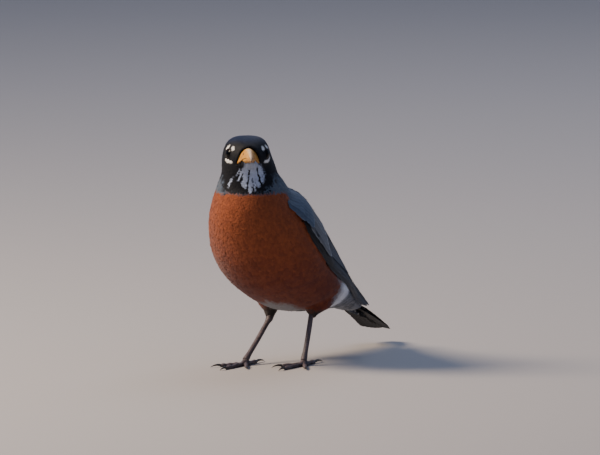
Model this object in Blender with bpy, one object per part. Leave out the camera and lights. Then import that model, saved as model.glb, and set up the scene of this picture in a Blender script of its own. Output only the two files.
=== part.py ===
"""American robin, adult male, standing with its head turned to its left: a still, life-size model.

Sizes are millimetres in the tables and metres in the scene. The bird faces -Y, its left side is +X, and
the floor is z = 0. Head sizes are (forward, up) pairs in the head's own frame, whose origin lies between
the eyes.
"""

import math

import bmesh
import bpy
from mathutils import Vector
from mathutils.bvhtree import BVHTree

MM = 0.001
ORIGIN = (0.0, 16.449, 0.0)  # the middle of the whole bird on the floor, which the scene puts at zero
GAP = 0.32  # clear space that neighbouring pieces keep

# ---------------------------------------------------------------- driving dimensions, in millimetres
WING_CHORD = 134.0
WING_DEPTH = 30.0
HEAD_ORIGIN = (0.0, -50.6, 121.2)  # the point between the eyes, before the head is turned
HEAD_PITCH = 6.5  # degrees that the bill points above level
HEAD_YAW = 34.0  # degrees that the head is turned to the bird's left
NECK_AXIS_Y = -44.6  # the vertical line that the neck twists about
EYE_CENTRE = (3.0, 7.8, 0.4)  # forward, aside, up, in the head's frame
EYE_RADIUS = 4.3
EYE_SIDES, EYE_RINGS = 16, 10

# ---------------------------------------------------------------- the body's outline
# Each row is one slice: back point (y, z), belly point (y, z), half width, share of the way down of the
# widest place, squareness of the back and of the belly. The slices fan out round the throat, so the outline
# turns without folding. The first three follow the tail, whose pieces have a shape of their own.
BODY_SLICES = [
    ((109.0, 8.6), (108.0, 6.2), 9.6, 0.50, 2.2, 2.2),
    ((92.0, 17.6), (90.6, 13.2), 9.3, 0.50, 2.2, 2.2),
    ((78.4, 25.2), (76.0, 18.8), 9.1, 0.50, 2.2, 2.2),
    ((70.0, 30.6), (66.0, 22.4), 9.4, 0.50, 2.1, 2.1),
    ((58.0, 38.0), (53.0, 25.8), 13.4, 0.52, 2.0, 2.0),
    ((47.0, 45.4), (40.0, 26.6), 18.2, 0.54, 1.9, 2.0),
    ((36.5, 53.4), (26.0, 27.4), 22.8, 0.56, 1.8, 1.95),
    ((25.5, 61.8), (11.5, 28.2), 26.6, 0.57, 1.75, 1.9),
    ((15.2, 70.2), (-4.5, 30.0), 29.0, 0.57, 1.7, 1.85),
    ((6.6, 78.2), (-20.0, 36.0), 30.2, 0.56, 1.7, 1.85),
    ((-1.4, 85.8), (-36.0, 44.8), 31.4, 0.55, 1.7, 1.85),
    ((-8.4, 92.8), (-48.2, 57.2), 30.2, 0.53, 1.75, 1.9),
    ((-15.2, 99.4), (-55.5, 70.4), 27.0, 0.51, 1.8, 1.95),
    ((-21.0, 105.6), (-60.4, 83.0), 22.4, 0.50, 1.9, 2.0),
    ((-26.6, 112.0), (-61.5, 94.0), 18.3, 0.50, 2.0, 2.0),
]
# The head's slices, as (forward, up) in the head's frame.
HEAD_SLICES = [
    ((-19.2, -4.2), (6.4, -18.4), 15.6, 0.50, 2.0, 2.0),
    ((-18.2, 1.2), (7.2, -14.8), 14.7, 0.50, 2.1, 2.0),
    ((-15.0, 6.2), (8.0, -12.2), 13.9, 0.52, 2.3, 2.0),
    ((-10.0, 9.5), (8.7, -10.4), 12.6, 0.50, 2.9, 1.95),
    ((-4.0, 10.6), (9.4, -9.2), 11.4, 0.50, 3.0, 1.95),
    ((1.5, 10.0), (10.1, -8.3), 9.6, 0.50, 2.7, 1.95),
    ((6.2, 8.0), (10.8, -7.3), 7.7, 0.50, 2.3, 2.0),
    ((9.6, 5.8), (11.4, -6.4), 6.1, 0.50, 2.1, 2.0),
    ((11.6, 4.4), (11.9, -5.8), 4.9, 0.50, 2.0, 2.0),
]
RUMP_FROM, TRUNK_FROM = 3.0, 6.0  # slice numbers at which rump and trunk begin
NECK_FROM, HEAD_FROM = 13.2, 16.6  # slice numbers at which neck and head begin
TWIST_FROM, TWIST_TO = 11.5, 16.0  # slice numbers between which the neck twists
NECK_LEAN = 2.0  # how far the neck bows out on the side that the head is turned to
LEAN_RISE, LEAN_FALL = (11.6, 14.2), (15.0, 17.6)  # slice numbers over which it comes and goes

# ---------------------------------------------------------------- the bill, in the head's frame
# Each row: forward, ridge height, cutting-edge height, half width, keel height.
BILL_LINES = [
    (6.5, 2.6, -5.5, 6.4, -6.7),
    (9.0, 3.2, -4.9, 6.2, -6.4),
    (11.0, 3.4, -4.1, 5.3, -5.9),
    (13.0, 3.2, -3.3, 4.4, -5.4),
    (16.5, 2.4, -2.5, 3.5, -4.9),
    (21.0, 1.0, -2.1, 2.5, -4.5),
    (26.0, -0.8, -2.4, 1.6, -4.2),
    (29.4, -2.5, -3.2, 0.75, -4.0),
    (31.2, -3.7, -4.0, 0.3, -4.2),
]
BILL_SIDES = 10
BILL_ROUNDNESS = 0.85
LOWER_BILL_SHARE = 0.9  # the lower half's width as a share of the upper's

# ---------------------------------------------------------------- the folded left wing
# Each row is one line across the wing: lower edge (x, y, z), upper edge (x, y, z), outward bulge.
WING_LINES = [
    ((24.0, -36.0, 90.0), (15.0, -22.0, 102.0), 1.6),
    ((28.8, -31.0, 80.5), (15.0, -11.0, 96.8), 2.6),
    ((31.4, -22.0, 69.0), (14.5, -0.5, 88.4), 3.4),
    ((31.2, -7.0, 57.0), (12.5, 13.5, 77.0), 4.0),
    ((28.0, 11.0, 47.2), (9.0, 28.0, 66.0), 4.0),
    ((22.0, 32.0, 37.4), (6.0, 42.0, 55.6), 3.6),
    ((15.4, 55.0, 29.2), (4.4, 57.0, 45.0), 2.6),
    ((6.8, 83.0, 22.8), (4.2, 83.8, 26.4), 0.2),
]
COVERTS_TO, SECONDARIES_TO = 0.40, 0.80
HAND_SHARE = 0.42  # the lower part of the wing that the primaries take
WING_THICKNESS = [1.4, 2.2, 2.4, 2.2, 2.0, 1.7, 1.3, 0.9]  # from the shoulder to the tip
WING_EDGE_THINNING = 0.45
WING_CLEARANCE = 0.15

# ---------------------------------------------------------------- the tail
TAIL_ROOT, TAIL_TIP = (0.0, 69.0, 26.2), (0.0, 108.5, 7.4)
TAIL_HALF_ROOT, TAIL_HALF_TIP = 8.8, 9.6
TAIL_DROOP = 0.8  # how far the middle of the tail sags below a straight line
TAIL_ARCH = 1.8  # how far the outer feathers lie below the middle ones
TAIL_ACROSS = 5
TAIL_EDGE_THINNING = 0.5
# Each row: share of the tail's length, thickness, share of the full spread.
TAIL_LINES = [
    (0.0, 7.4, 1.0),
    (0.15, 5.2, 1.0),
    (0.35, 3.2, 1.0),
    (0.6, 2.0, 1.0),
    (0.85, 1.3, 1.0),
    (0.96, 1.1, 0.9),
    (1.0, 1.0, 0.72),
]

# ---------------------------------------------------------------- the legs
# Ankle, foot joint and the thigh's hidden upper end of each leg (x, y, z), and the share of the way from
# ankle to foot at which the feathers end.
LEGS = {
    "left": {
        "ankle": (14.0, 4.0, 32.6),
        "foot": (14.5, -6.5, 3.2),
        "thigh": (17.0, 12.0, 42.0),
        "bare": 0.2,
    },
    "right": {
        "ankle": (-14.0, 4.6, 23.6),
        "foot": (-14.5, -21.0, 3.2),
        "thigh": (-17.0, 13.0, 40.0),
        "bare": 0.0,
    },
}
# Toe: turn from straight ahead towards the body's outside in degrees, length, radius, claw length.
TOES = {
    "hallux": (180.0, 12.5, 1.30, 8.5),
    "inner": (-33.0, 14.0, 1.22, 6.0),
    "middle": (0.0, 21.5, 1.28, 6.6),
    "outer": (34.0, 15.5, 1.22, 6.0),
}
PALM_REACH = 3.7  # from the foot joint to where each toe starts
LEG_SIDES, TOE_SIDES, CLAW_SIDES = 14, 10, 7
THIGH_LINE = [(0.0, 9.0), (0.35, 8.2), (0.65, 6.0), (0.85, 4.2), (0.95, 3.2)]  # share down, radius
TARSUS_LINE = [(0.045, 1.7), (0.07, 2.0), (0.10, 1.8), (0.2, 1.4), (0.5, 1.3), (0.8, 1.35), (0.93, 1.7)]
PALM_LINE = [(2.4, 2.3), (1.2, 2.9), (0.0, 2.7)]  # height, radius
TOE_LINE = [(0.0, 0.72), (0.15, 1.0), (0.4, 0.92), (0.55, 1.0), (0.8, 0.85), (0.95, 0.8), (1.0, 0.55)]
TOE_SINK = 0.86  # centre height over radius, so that each toe rests on a narrow flat
CLAW_LINE = [(0.0, 0.55, 0.8), (0.2, 0.6, 1.05), (0.45, 0.5, 1.1), (0.75, 0.33, 0.8), (1.0, 0.1, 0.2)]
CLAW_CLEARANCE = 0.05

# ---------------------------------------------------------------- finishes: colour, roughness
FINISH = {
    "slate": ((0.075, 0.085, 0.10), 0.75),
    "black_hood": ((0.012, 0.013, 0.018), 0.65),
    "brick_red": ((0.26, 0.06, 0.018), 0.75),
    "flight_grey": ((0.045, 0.045, 0.05), 0.6),
    "tail_black": ((0.018, 0.018, 0.02), 0.6),
    "bill_yellow": ((0.62, 0.33, 0.07), 0.4),
    "eye_dark": ((0.012, 0.007, 0.005), 0.05),
    "leg_brown": ((0.075, 0.05, 0.045), 0.55),
    "claw_black": ((0.015, 0.013, 0.012), 0.35),
}


# ---------------------------------------------------------------- small helpers
def clear_scene():
    for old in list(bpy.data.objects):
        bpy.data.objects.remove(old)


def finish(name):
    material = bpy.data.materials.get(name) or bpy.data.materials.new(name)
    material.use_nodes = True
    shader = material.node_tree.nodes["Principled BSDF"]
    colour, roughness = FINISH[name]
    shader.inputs["Base Color"].default_value = (*colour, 1.0)
    shader.inputs["Roughness"].default_value = roughness
    return material


def make_object(name, points, faces, finish_name, helper=False):
    """An object from points in millimetres. A helper only cuts or guides other pieces."""
    mesh = bpy.data.meshes.new(name)
    mesh.from_pydata([(Vector(p) - Vector(ORIGIN)) * MM for p in points], [], faces)
    bm = bmesh.new()
    bm.from_mesh(mesh)
    bmesh.ops.recalc_face_normals(bm, faces=bm.faces)
    bm.to_mesh(mesh)
    bm.free()
    mesh.shade_smooth()
    mesh.set_sharp_from_angle(angle=math.radians(50))
    mesh.materials.append(finish(finish_name))
    piece = bpy.data.objects.new(name, mesh)
    bpy.context.scene.collection.objects.link(piece)
    if helper:
        piece.hide_render = True
        piece.display_type = "WIRE"
    return piece


def cut(piece, cutter):
    """Takes the cutter's shape out of the piece."""
    modifier = piece.modifiers.new("cut_" + cutter.name, "BOOLEAN")
    modifier.object = cutter
    modifier.operation = "DIFFERENCE"
    modifier.solver = "EXACT"


def skin_of_rings(rings):
    """Points and faces of a closed tube through rings that all have as many points."""
    points = [p for ring in rings for p in ring]
    around = len(rings[0])
    faces = []
    for i in range(len(rings) - 1):
        for j in range(around):
            k = (j + 1) % around
            faces.append((i * around + j, i * around + k, (i + 1) * around + k, (i + 1) * around + j))
    for first, step in ((0, -1), ((len(rings) - 1) * around, 1)):
        centre = sum((Vector(points[first + j]) for j in range(around)), Vector()) / around
        points.append(centre)
        cap = [first + j for j in range(around)][::step]
        faces += [(cap[j], cap[(j + 1) % around], len(points) - 1) for j in range(around)]
    return points, faces


def smooth_between(rows, t):
    """A Catmull-Rom reading of equal rows of numbers at t, which counts rows from 0."""
    t = min(max(t, 0.0), len(rows) - 1.0)
    i = min(int(t), len(rows) - 2)
    f = t - i
    before, a = rows[max(i - 1, 0)], rows[i]
    b, after = rows[i + 1], rows[min(i + 2, len(rows) - 1)]
    found = []
    for p0, p1, p2, p3 in zip(before, a, b, after):
        bend = (2 * p0 - 5 * p1 + 4 * p2 - p3) * f * f + (3 * p1 - p0 - 3 * p2 + p3) * f**3
        found.append(p1 + 0.5 * ((p2 - p0) * f + bend))
    return found


def smoothstep(low, high, value):
    share = min(max((value - low) / (high - low), 0.0), 1.0)
    return share * share * (3 - 2 * share)


# ---------------------------------------------------------------- the head's own frame
PITCH = math.radians(HEAD_PITCH)


def profile_point(forward, up):
    """(y, z) of a point on the head's middle plane before the head is turned."""
    _, y0, z0 = HEAD_ORIGIN
    return (
        y0 - math.cos(PITCH) * forward + math.sin(PITCH) * up,
        z0 + math.sin(PITCH) * forward + math.cos(PITCH) * up,
    )


def turned(point, share=1.0):
    """A point carried round the neck's line by a share of the head's turn."""
    angle = math.radians(HEAD_YAW) * share
    x, y = point[0], point[1] - NECK_AXIS_Y
    return Vector((
        x * math.cos(angle) - y * math.sin(angle),
        NECK_AXIS_Y + x * math.sin(angle) + y * math.cos(angle),
        point[2],
    ))


def head_point(forward, aside, up):
    """A point of the turned head. Aside is towards the bird's left."""
    y, z = profile_point(forward, up)
    return turned((aside, y, z))


# ---------------------------------------------------------------- head, neck, trunk and tail root
def body_rows():
    rows = [(*back, *belly, *shape) for back, belly, *shape in BODY_SLICES]
    for back, belly, *shape in HEAD_SLICES:
        rows.append((*profile_point(*back), *profile_point(*belly), *shape))
    return rows


ROWS = body_rows()
LAST_SLICE = len(ROWS) - 1.0


def body_ring(t, around, swell=0.0):
    """The body's outline at slice number t. Swell moves it outward, for cutters."""
    back_y, back_z, belly_y, belly_z, half, widest, over, under = smooth_between(ROWS, t)
    back, belly = Vector((0, back_y, back_z)), Vector((0, belly_y, belly_z))
    middle = back.lerp(belly, widest)
    down = (belly - back).normalized()
    share = smoothstep(TWIST_FROM, TWIST_TO, t)
    lean = NECK_LEAN * smoothstep(*LEAN_RISE, t) * (1 - smoothstep(*LEAN_FALL, t))
    ring = []
    for j in range(around):
        angle = 2 * math.pi * j / around
        c, s = math.cos(angle), math.sin(angle)
        square = over if c > 0 else under
        bulge_c = math.copysign(abs(c) ** (2 / square), c)
        bulge_s = math.copysign(abs(s) ** (2 / square), s)
        reach = ((back - middle).length if c > 0 else (belly - middle).length) + swell
        point = middle - down * bulge_c * reach
        point.x = bulge_s * (half + swell)
        ring.append(turned(point, share) + Vector((lean, 0, 0)))
    return ring


def body_piece(name, start, end, steps, around, finish_name, swell=0.0, helper=False):
    ts = [start + (end - start) * i / steps for i in range(steps + 1)]
    rings = [body_ring(t, around, swell) for t in ts]
    return make_object(name, *skin_of_rings(rings), finish_name, helper)


def slice_gap(t):
    """How much slice number gives the clear gap at slice t, measured along the back."""
    a, b = smooth_between(ROWS, t - 0.05), smooth_between(ROWS, t + 0.05)
    middle_a = Vector((a[0] + a[2], a[1] + a[3])) / 2
    middle_b = Vector((b[0] + b[2], b[1] + b[3])) / 2
    return 0.1 * GAP / (middle_b - middle_a).length


def build_body():
    g_rump, g_neck, g_head = (slice_gap(t) for t in (TRUNK_FROM, NECK_FROM, HEAD_FROM))
    body_piece("rump", RUMP_FROM, TRUNK_FROM - g_rump / 2, 6, 28, "slate")
    body_piece("trunk", TRUNK_FROM + g_rump / 2, NECK_FROM - g_neck / 2, 14, 34, "brick_red")
    body_piece("neck", NECK_FROM + g_neck / 2, HEAD_FROM - g_head / 2, 6, 32, "black_hood")
    return body_piece("head", HEAD_FROM + g_head / 2, LAST_SLICE, 13, 28, "black_hood")


# ---------------------------------------------------------------- eyes and bill
def ball(centre, radius):
    """Rings of a sphere about an upright line."""
    found = []
    for i in range(1, EYE_RINGS):
        angle = math.pi * i / EYE_RINGS
        ring = []
        for j in range(EYE_SIDES):
            turn = 2 * math.pi * j / EYE_SIDES
            offset = (
                math.sin(angle) * math.cos(turn),
                math.sin(angle) * math.sin(turn),
                -math.cos(angle),
            )
            ring.append(centre + Vector(offset) * radius)
        found.append(ring)
    return found


def build_eye(side, head):
    forward, aside, up = EYE_CENTRE
    sign = 1 if side == "left" else -1
    centre = head_point(forward, sign * aside, up)
    eye = make_object("eye_" + side, *skin_of_rings(ball(centre, EYE_RADIUS)), "eye_dark")
    socket = ball(centre, EYE_RADIUS + GAP)
    cut(head, make_object("socket_" + side, *skin_of_rings(socket), "eye_dark", helper=True))
    return eye


def bill_ring(forward, ridge, edge, half, over=1):
    """A rounded ridge over a flat edge. With over = -1 it is a keel under a flat edge."""
    ring = []
    for i in range(BILL_SIDES + 1):
        angle = math.pi * (i / BILL_SIDES - 0.5)
        lift = abs(ridge - edge) * math.cos(angle) ** BILL_ROUNDNESS
        ring.append(head_point(forward, half * math.sin(angle), edge + over * lift))
    ring.append(head_point(forward, half / 3, edge))
    ring.append(head_point(forward, -half / 3, edge))
    return ring


def upper_bill(swell=0.0):
    rings = []
    for forward, ridge, edge, half, _ in BILL_LINES:
        rings.append(bill_ring(forward, ridge + swell, edge - swell, half + swell))
    return rings


def lower_bill(swell=0.0):
    rings = []
    for forward, _, edge, half, keel in BILL_LINES[:-1]:
        seam = edge - GAP + swell
        rings.append(bill_ring(forward, keel - swell, seam, half * LOWER_BILL_SHARE + swell, -1))
    return rings


def build_bill(head):
    upper = make_object("bill_upper", *skin_of_rings(upper_bill()), "bill_yellow")
    lower = make_object("bill_lower", *skin_of_rings(lower_bill()), "bill_yellow")
    for name, rings in (("upper_seat", upper_bill(GAP)), ("lower_seat", lower_bill(GAP))):
        cut(head, make_object(name, *skin_of_rings(rings), "bill_yellow", helper=True))
    return upper, lower


# ---------------------------------------------------------------- tail
def tail_frame(share):
    """The tail's middle point at a share of its length, and the upward normal there."""
    root, tip = Vector(TAIL_ROOT), Vector(TAIL_TIP)
    along = tip - root
    normal = Vector((0, -along.z, along.y)).normalized()
    droop = -TAIL_DROOP * 4 * share * (1 - share)
    return root + along * share - normal * droop, normal


def tail_half(side):
    """One half of the folded tail: thick at the coverts, thin and rounded at the tip."""
    sign = 1 if side == "left" else -1
    rings = []
    for share, thick, spread in TAIL_LINES:
        centre, normal = tail_frame(share)
        half = TAIL_HALF_ROOT + (TAIL_HALF_TIP - TAIL_HALF_ROOT) * share
        ring = []
        for i in range(TAIL_ACROSS + 1):
            x = GAP / 2 + (half * spread - GAP / 2) * i / TAIL_ACROSS
            fall = TAIL_ARCH * (x / TAIL_HALF_TIP) ** 2
            depth = thick * (1 - TAIL_EDGE_THINNING * (i / TAIL_ACROSS) ** 2) / 2
            ring.append((x, depth, fall))
        upper = [centre + normal * (d - f) + Vector((sign * x, 0, 0)) for x, d, f in ring]
        lower = [centre - normal * (d + f) + Vector((sign * x, 0, 0)) for x, d, f in ring]
        rings.append(upper + lower[::-1])
    return rings


def build_tail():
    for side in ("left", "right"):
        make_object("tail_" + side, *skin_of_rings(tail_half(side)), "tail_black")


# ---------------------------------------------------------------- folded wings
def tree_of(pieces):
    """A search tree over the plain surfaces of the pieces, in the tables' millimetres."""
    points, faces = [], []
    for piece in pieces:
        base = len(points)
        points += [v.co / MM + Vector(ORIGIN) for v in piece.data.vertices]
        faces += [[base + i for i in face.vertices] for face in piece.data.polygons]
    return BVHTree.FromPolygons(points, faces)


WING_ROWS = [(*low, *high, bulge) for low, high, bulge in WING_LINES]


def wing_point(u, v):
    """A point of the left wing's middle sheet: u runs to the tip, v from the lower edge up."""
    row = smooth_between(WING_ROWS, u * (len(WING_ROWS) - 1))
    low, high, bulge = Vector(row[:3]), Vector(row[3:6]), row[6]
    outward = Vector((high.z - low.z, 0, low.x - high.x)).normalized()
    return low.lerp(high, v) + outward * bulge * 4 * v * (1 - v)


def wing_normal(u, v):
    step = 0.01
    along = wing_point(min(u + step, 1), v) - wing_point(max(u - step, 0), v)
    across = wing_point(u, min(v + step, 1)) - wing_point(u, max(v - step, 0))
    normal = along.cross(across).normalized()
    return normal if normal.x > 0 else -normal


def to_side(vector, sign):
    return Vector((sign * vector.x, vector.y, vector.z))


def pushed_out(point, tree, clearance):
    place, normal, _, distance = tree.find_nearest(point)
    if (point - place).dot(normal) < 0:
        distance = -distance
    return place + normal * clearance if distance < clearance else point


def wing_shell(sign, patch, thickness, tree):
    """A closed shell over a patch of the wing whose side is sign: 1 for the left, -1 for the right."""
    u_from, u_to, v_from, v_to, steps = patch
    along, across = steps
    inner, outer = [], []
    for i in range(along + 1):
        u = u_from + (u_to - u_from) * i / along
        for j in range(across + 1):
            v = v_from(u) + (v_to(u) - v_from(u)) * j / across
            through = to_side(wing_normal(u, v), sign) * thickness(u, v)
            base = pushed_out(to_side(wing_point(u, v), sign) - through, tree, WING_CLEARANCE)
            inner.append(base)
            outer.append(base + through)
    wide = across + 1
    count = len(inner)
    faces = []
    for i in range(along):
        for j in range(across):
            a, b = i * wide + j, i * wide + j + 1
            c, d = b + wide, a + wide
            faces.append((a, b, c, d))
            faces.append((count + d, count + c, count + b, count + a))
    rim = [i * wide for i in range(along + 1)]
    rim += [along * wide + j for j in range(1, wide)]
    rim += [i * wide + across for i in range(along - 1, -1, -1)]
    rim += [j for j in range(across - 1, 0, -1)]
    for a, b in zip(rim, rim[1:] + rim[:1]):
        faces.append((a, b, count + b, count + a))
    return inner + outer, faces


def hand_top(u):
    """How far up the wing the long primaries reach. They fill the whole tip."""
    return HAND_SHARE + (1 - HAND_SHARE) * smoothstep(SECONDARIES_TO - 0.12, SECONDARIES_TO + 0.02, u)


def wing_thickness(u, v):
    edge = 1 - WING_EDGE_THINNING * (2 * abs(v - 0.5)) ** 3
    return smooth_between([[t] for t in WING_THICKNESS], u * (len(WING_THICKNESS) - 1))[0] * edge


def build_wings(room):
    tree = tree_of([room])
    gap_u, gap_v = GAP / WING_CHORD, GAP / WING_DEPTH
    patches = {
        "coverts": (0.0, COVERTS_TO - gap_u, lambda u: 0.0, lambda u: 1.0, (9, 7)),
        "secondaries": (
            COVERTS_TO + gap_u,
            SECONDARIES_TO - gap_u,
            lambda u: hand_top(u) + gap_v,
            lambda u: 1.0,
            (8, 4),
        ),
        "primaries": (
            COVERTS_TO + gap_u,
            1.0,
            lambda u: 0.0,
            lambda u: hand_top(u) - gap_v * (u < SECONDARIES_TO),
            (16, 4),
        ),
    }
    wings = []
    for name, patch in patches.items():
        for side, sign in (("left", 1), ("right", -1)):
            points, faces = wing_shell(sign, patch, wing_thickness, tree)
            wing = make_object(f"wing_{side}_{name}", points, faces, "flight_grey")
            cut(wing, room)
            wings.append(wing)
    return wings


# ---------------------------------------------------------------- legs and feet
def tube(stations, across):
    """Rings round a line of (centre, radius), each square to the line there."""
    rings = []
    for i, (centre, radius) in enumerate(stations):
        before, after = stations[max(i - 1, 0)][0], stations[min(i + 1, len(stations) - 1)][0]
        along = (after - before).normalized()
        side = along.cross(Vector((0, 1, 0.01))).normalized()
        other = along.cross(side)
        ring = []
        for j in range(across):
            turn = 2 * math.pi * j / across
            ring.append(centre + (side * math.cos(turn) + other * math.sin(turn)) * radius)
        rings.append(ring)
    return rings


def flattened(rings, floor):
    """The rings with every point that lies below the floor lifted onto it."""
    return [[Vector((p.x, p.y, max(p.z, floor))) for p in ring] for ring in rings]


def leg_point(side, share):
    return Vector(LEGS[side]["ankle"]).lerp(Vector(LEGS[side]["foot"]), share)


def build_thigh(side, trunk_cutter):
    cuff, top = leg_point(side, LEGS[side]["bare"]), Vector(LEGS[side]["thigh"])
    stations = [(top.lerp(cuff, s), radius) for s, radius in THIGH_LINE]
    thigh = make_object("thigh_" + side, *skin_of_rings(tube(stations, 20)), "brick_red")
    cut(thigh, trunk_cutter)
    return thigh


def build_tarsus(side, trunk_cutter):
    foot, bare = Vector(LEGS[side]["foot"]), LEGS[side]["bare"]
    stations = [(leg_point(side, bare + (1 - bare) * s), radius) for s, radius in TARSUS_LINE]
    rings = tube(stations, LEG_SIDES)
    for height, radius in PALM_LINE:
        ring = []
        for j in range(LEG_SIDES):
            turn = 2 * math.pi * j / LEG_SIDES
            out = Vector((math.cos(turn), math.sin(turn), 0)) * radius
            ring.append(Vector((foot.x, foot.y, height)) + out)
        rings.append(matched(ring, rings[-1]))
    tarsus = make_object("tarsus_" + side, *skin_of_rings(rings), "leg_brown")
    cut(tarsus, trunk_cutter)
    return tarsus


def matched(ring, before):
    """The ring started and wound so that its points follow those of the ring before it."""
    centre = sum(ring, Vector()) / len(ring)
    middle = sum(before, Vector()) / len(before)
    best = None
    for way in (1, -1):
        for start in range(len(ring)):
            tried = [ring[(start + way * j) % len(ring)] for j in range(len(ring))]
            miss = sum(((a - centre) - (b - middle)).length_squared for a, b in zip(tried, before))
            if best is None or miss < best[0]:
                best = (miss, tried)
    return best[1]


def toe_direction(side, turn):
    outward = 1 if side == "left" else -1
    angle = math.radians(turn) * outward
    return Vector((math.sin(angle), -math.cos(angle), 0))


def build_toe(side, name):
    turn, length, radius, claw = TOES[name]
    foot = Vector(LEGS[side]["foot"])
    root = Vector((foot.x, foot.y, 0))
    way = toe_direction(side, turn)
    stations = []
    for share, width in TOE_LINE:
        reach = PALM_REACH + (length - PALM_REACH) * share
        stations.append((root + way * reach + Vector((0, 0, radius * width * TOE_SINK)), radius * width))
    toe = flattened(tube(stations, TOE_SIDES), 0.0)
    made = [make_object(f"toe_{side}_{name}", *skin_of_rings(toe), "leg_brown")]
    start = root + way * (length + GAP)
    stations = []
    for share, width, height in CLAW_LINE:
        centre = start + way * claw * share + Vector((0, 0, height * radius))
        stations.append((centre, radius * width))
    nail = flattened(tube(stations, CLAW_SIDES), CLAW_CLEARANCE)
    made.append(make_object(f"claw_{side}_{name}", *skin_of_rings(nail), "claw_black"))
    return made


def main():
    clear_scene()
    head = build_body()
    for side in ("left", "right"):
        build_eye(side, head)
    build_bill(head)
    build_tail()
    room = body_piece("body_room", 0.0, HEAD_FROM, 34, 40, "brick_red", GAP, helper=True)
    build_wings(room)
    for side in ("left", "right"):
        build_thigh(side, room)
        build_tarsus(side, room)
        for name in TOES:
            build_toe(side, name)


main()
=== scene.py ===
# %% [markdown]
# # An american robin as a museum shows it
# A still, life-size songbird. The solids give its true outline. This lesson dresses them: one skin over all
# the flesh, then feathers row by row, and the eyes, the horny bill and claws and the scaly feet as pieces of
# their own. Sizes are in millimetres here and become metres only when a mesh is made.

# %% Load the solids
import math

import bmesh
import bpy
import numpy as np
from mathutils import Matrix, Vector
from mathutils.bvhtree import BVHTree
from mathutils.kdtree import KDTree


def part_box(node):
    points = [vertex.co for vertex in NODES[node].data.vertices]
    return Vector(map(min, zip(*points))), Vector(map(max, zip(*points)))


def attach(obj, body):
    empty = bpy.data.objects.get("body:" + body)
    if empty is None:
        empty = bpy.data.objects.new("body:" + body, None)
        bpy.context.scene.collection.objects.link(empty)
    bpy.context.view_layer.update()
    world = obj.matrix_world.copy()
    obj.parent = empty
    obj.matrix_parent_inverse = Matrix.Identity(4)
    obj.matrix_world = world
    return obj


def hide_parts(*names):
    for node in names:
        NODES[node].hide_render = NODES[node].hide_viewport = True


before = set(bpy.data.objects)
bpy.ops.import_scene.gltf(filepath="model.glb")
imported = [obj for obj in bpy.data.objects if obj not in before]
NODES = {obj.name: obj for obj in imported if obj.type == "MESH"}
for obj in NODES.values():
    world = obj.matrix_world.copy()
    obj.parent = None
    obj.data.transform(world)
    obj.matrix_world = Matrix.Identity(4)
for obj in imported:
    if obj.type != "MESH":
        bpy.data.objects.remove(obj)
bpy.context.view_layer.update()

MM = 0.001
TINY = 1e-9  # keeps a division from a zero


# %% [markdown]
# Every mesh below is made of triangles held in arrays, because a coat has far too many points for a loop.
# One function turns such arrays into an object. It also writes what the materials read at each point: the
# plumage colour, and where on its feather the point lies.

# %% Arrays to objects
def array_object(name, points, triangles, material, smooth=True, values=None, bake=None):
    """An object from points in millimetres. values: name to one row per point. bake: a UV place per point."""
    mesh = bpy.data.meshes.new(name)
    mesh.vertices.add(len(points))
    mesh.vertices.foreach_set("co", (np.asarray(points) * MM).astype(np.float32).ravel())
    mesh.loops.add(len(triangles) * 3)
    mesh.loops.foreach_set("vertex_index", np.asarray(triangles, np.int32).ravel())
    mesh.polygons.add(len(triangles))
    mesh.polygons.foreach_set("loop_start", np.arange(0, len(triangles) * 3, 3, dtype=np.int32))
    mesh.polygons.foreach_set("use_smooth", np.full(len(triangles), smooth))
    mesh.update(calc_edges=True)
    for value_name, rows in (values or {}).items():
        rows = np.asarray(rows, np.float32)
        kind, field = ("FLOAT_COLOR", "color") if rows.shape[1] == 4 else ("FLOAT_VECTOR", "vector")
        mesh.attributes.new(value_name, kind, "POINT").data.foreach_set(field, rows.ravel())
    if bake is not None:
        corners = np.asarray(bake, np.float32)[np.asarray(triangles).ravel()]
        mesh.uv_layers.new(name="OFBake").data.foreach_set("uv", corners.ravel())
    mesh.materials.append(material)
    piece = bpy.data.objects.new(name, mesh)
    bpy.context.scene.collection.objects.link(piece)
    return piece


def mesh_arrays(mesh):
    """(points in millimetres, triangles) of a mesh."""
    mesh.calc_loop_triangles()
    points = np.empty(len(mesh.vertices) * 3, np.float32)
    mesh.vertices.foreach_get("co", points)
    triangles = np.empty(len(mesh.loop_triangles) * 3, np.int32)
    mesh.loop_triangles.foreach_get("vertices", triangles)
    return points.reshape(-1, 3).astype(float) / MM, triangles.reshape(-1, 3)


def unit(vectors):
    return vectors / np.maximum(np.linalg.norm(vectors, axis=-1, keepdims=True), TINY)


def opaque(colours):
    """Colours with the fourth value that the mesh stores."""
    return np.concatenate([colours, np.ones((len(colours), 1))], axis=1)


def ramp(low, high, value):
    """0 below low, 1 above high, and a smooth rise between them."""
    share = np.clip((value - low) / (high - low), 0, 1)
    return share * share * (3 - 2 * share)


# %% [markdown]
# Colours are written as the hex values a paint chart gives. The renderer wants linear light, so one function
# converts them. Another adds a node with its settings and its links.

# %% Colour and node helpers
def linear(hex_value):
    parts = [int(hex_value[i : i + 2], 16) / 255 for i in (1, 3, 5)]
    return tuple(c / 12.92 if c <= 0.04045 else ((c + 0.055) / 1.055) ** 2.4 for c in parts)


def paint(hex_value):
    """A hex value as the colour that a socket holds."""
    return (*linear(hex_value), 1)


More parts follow.
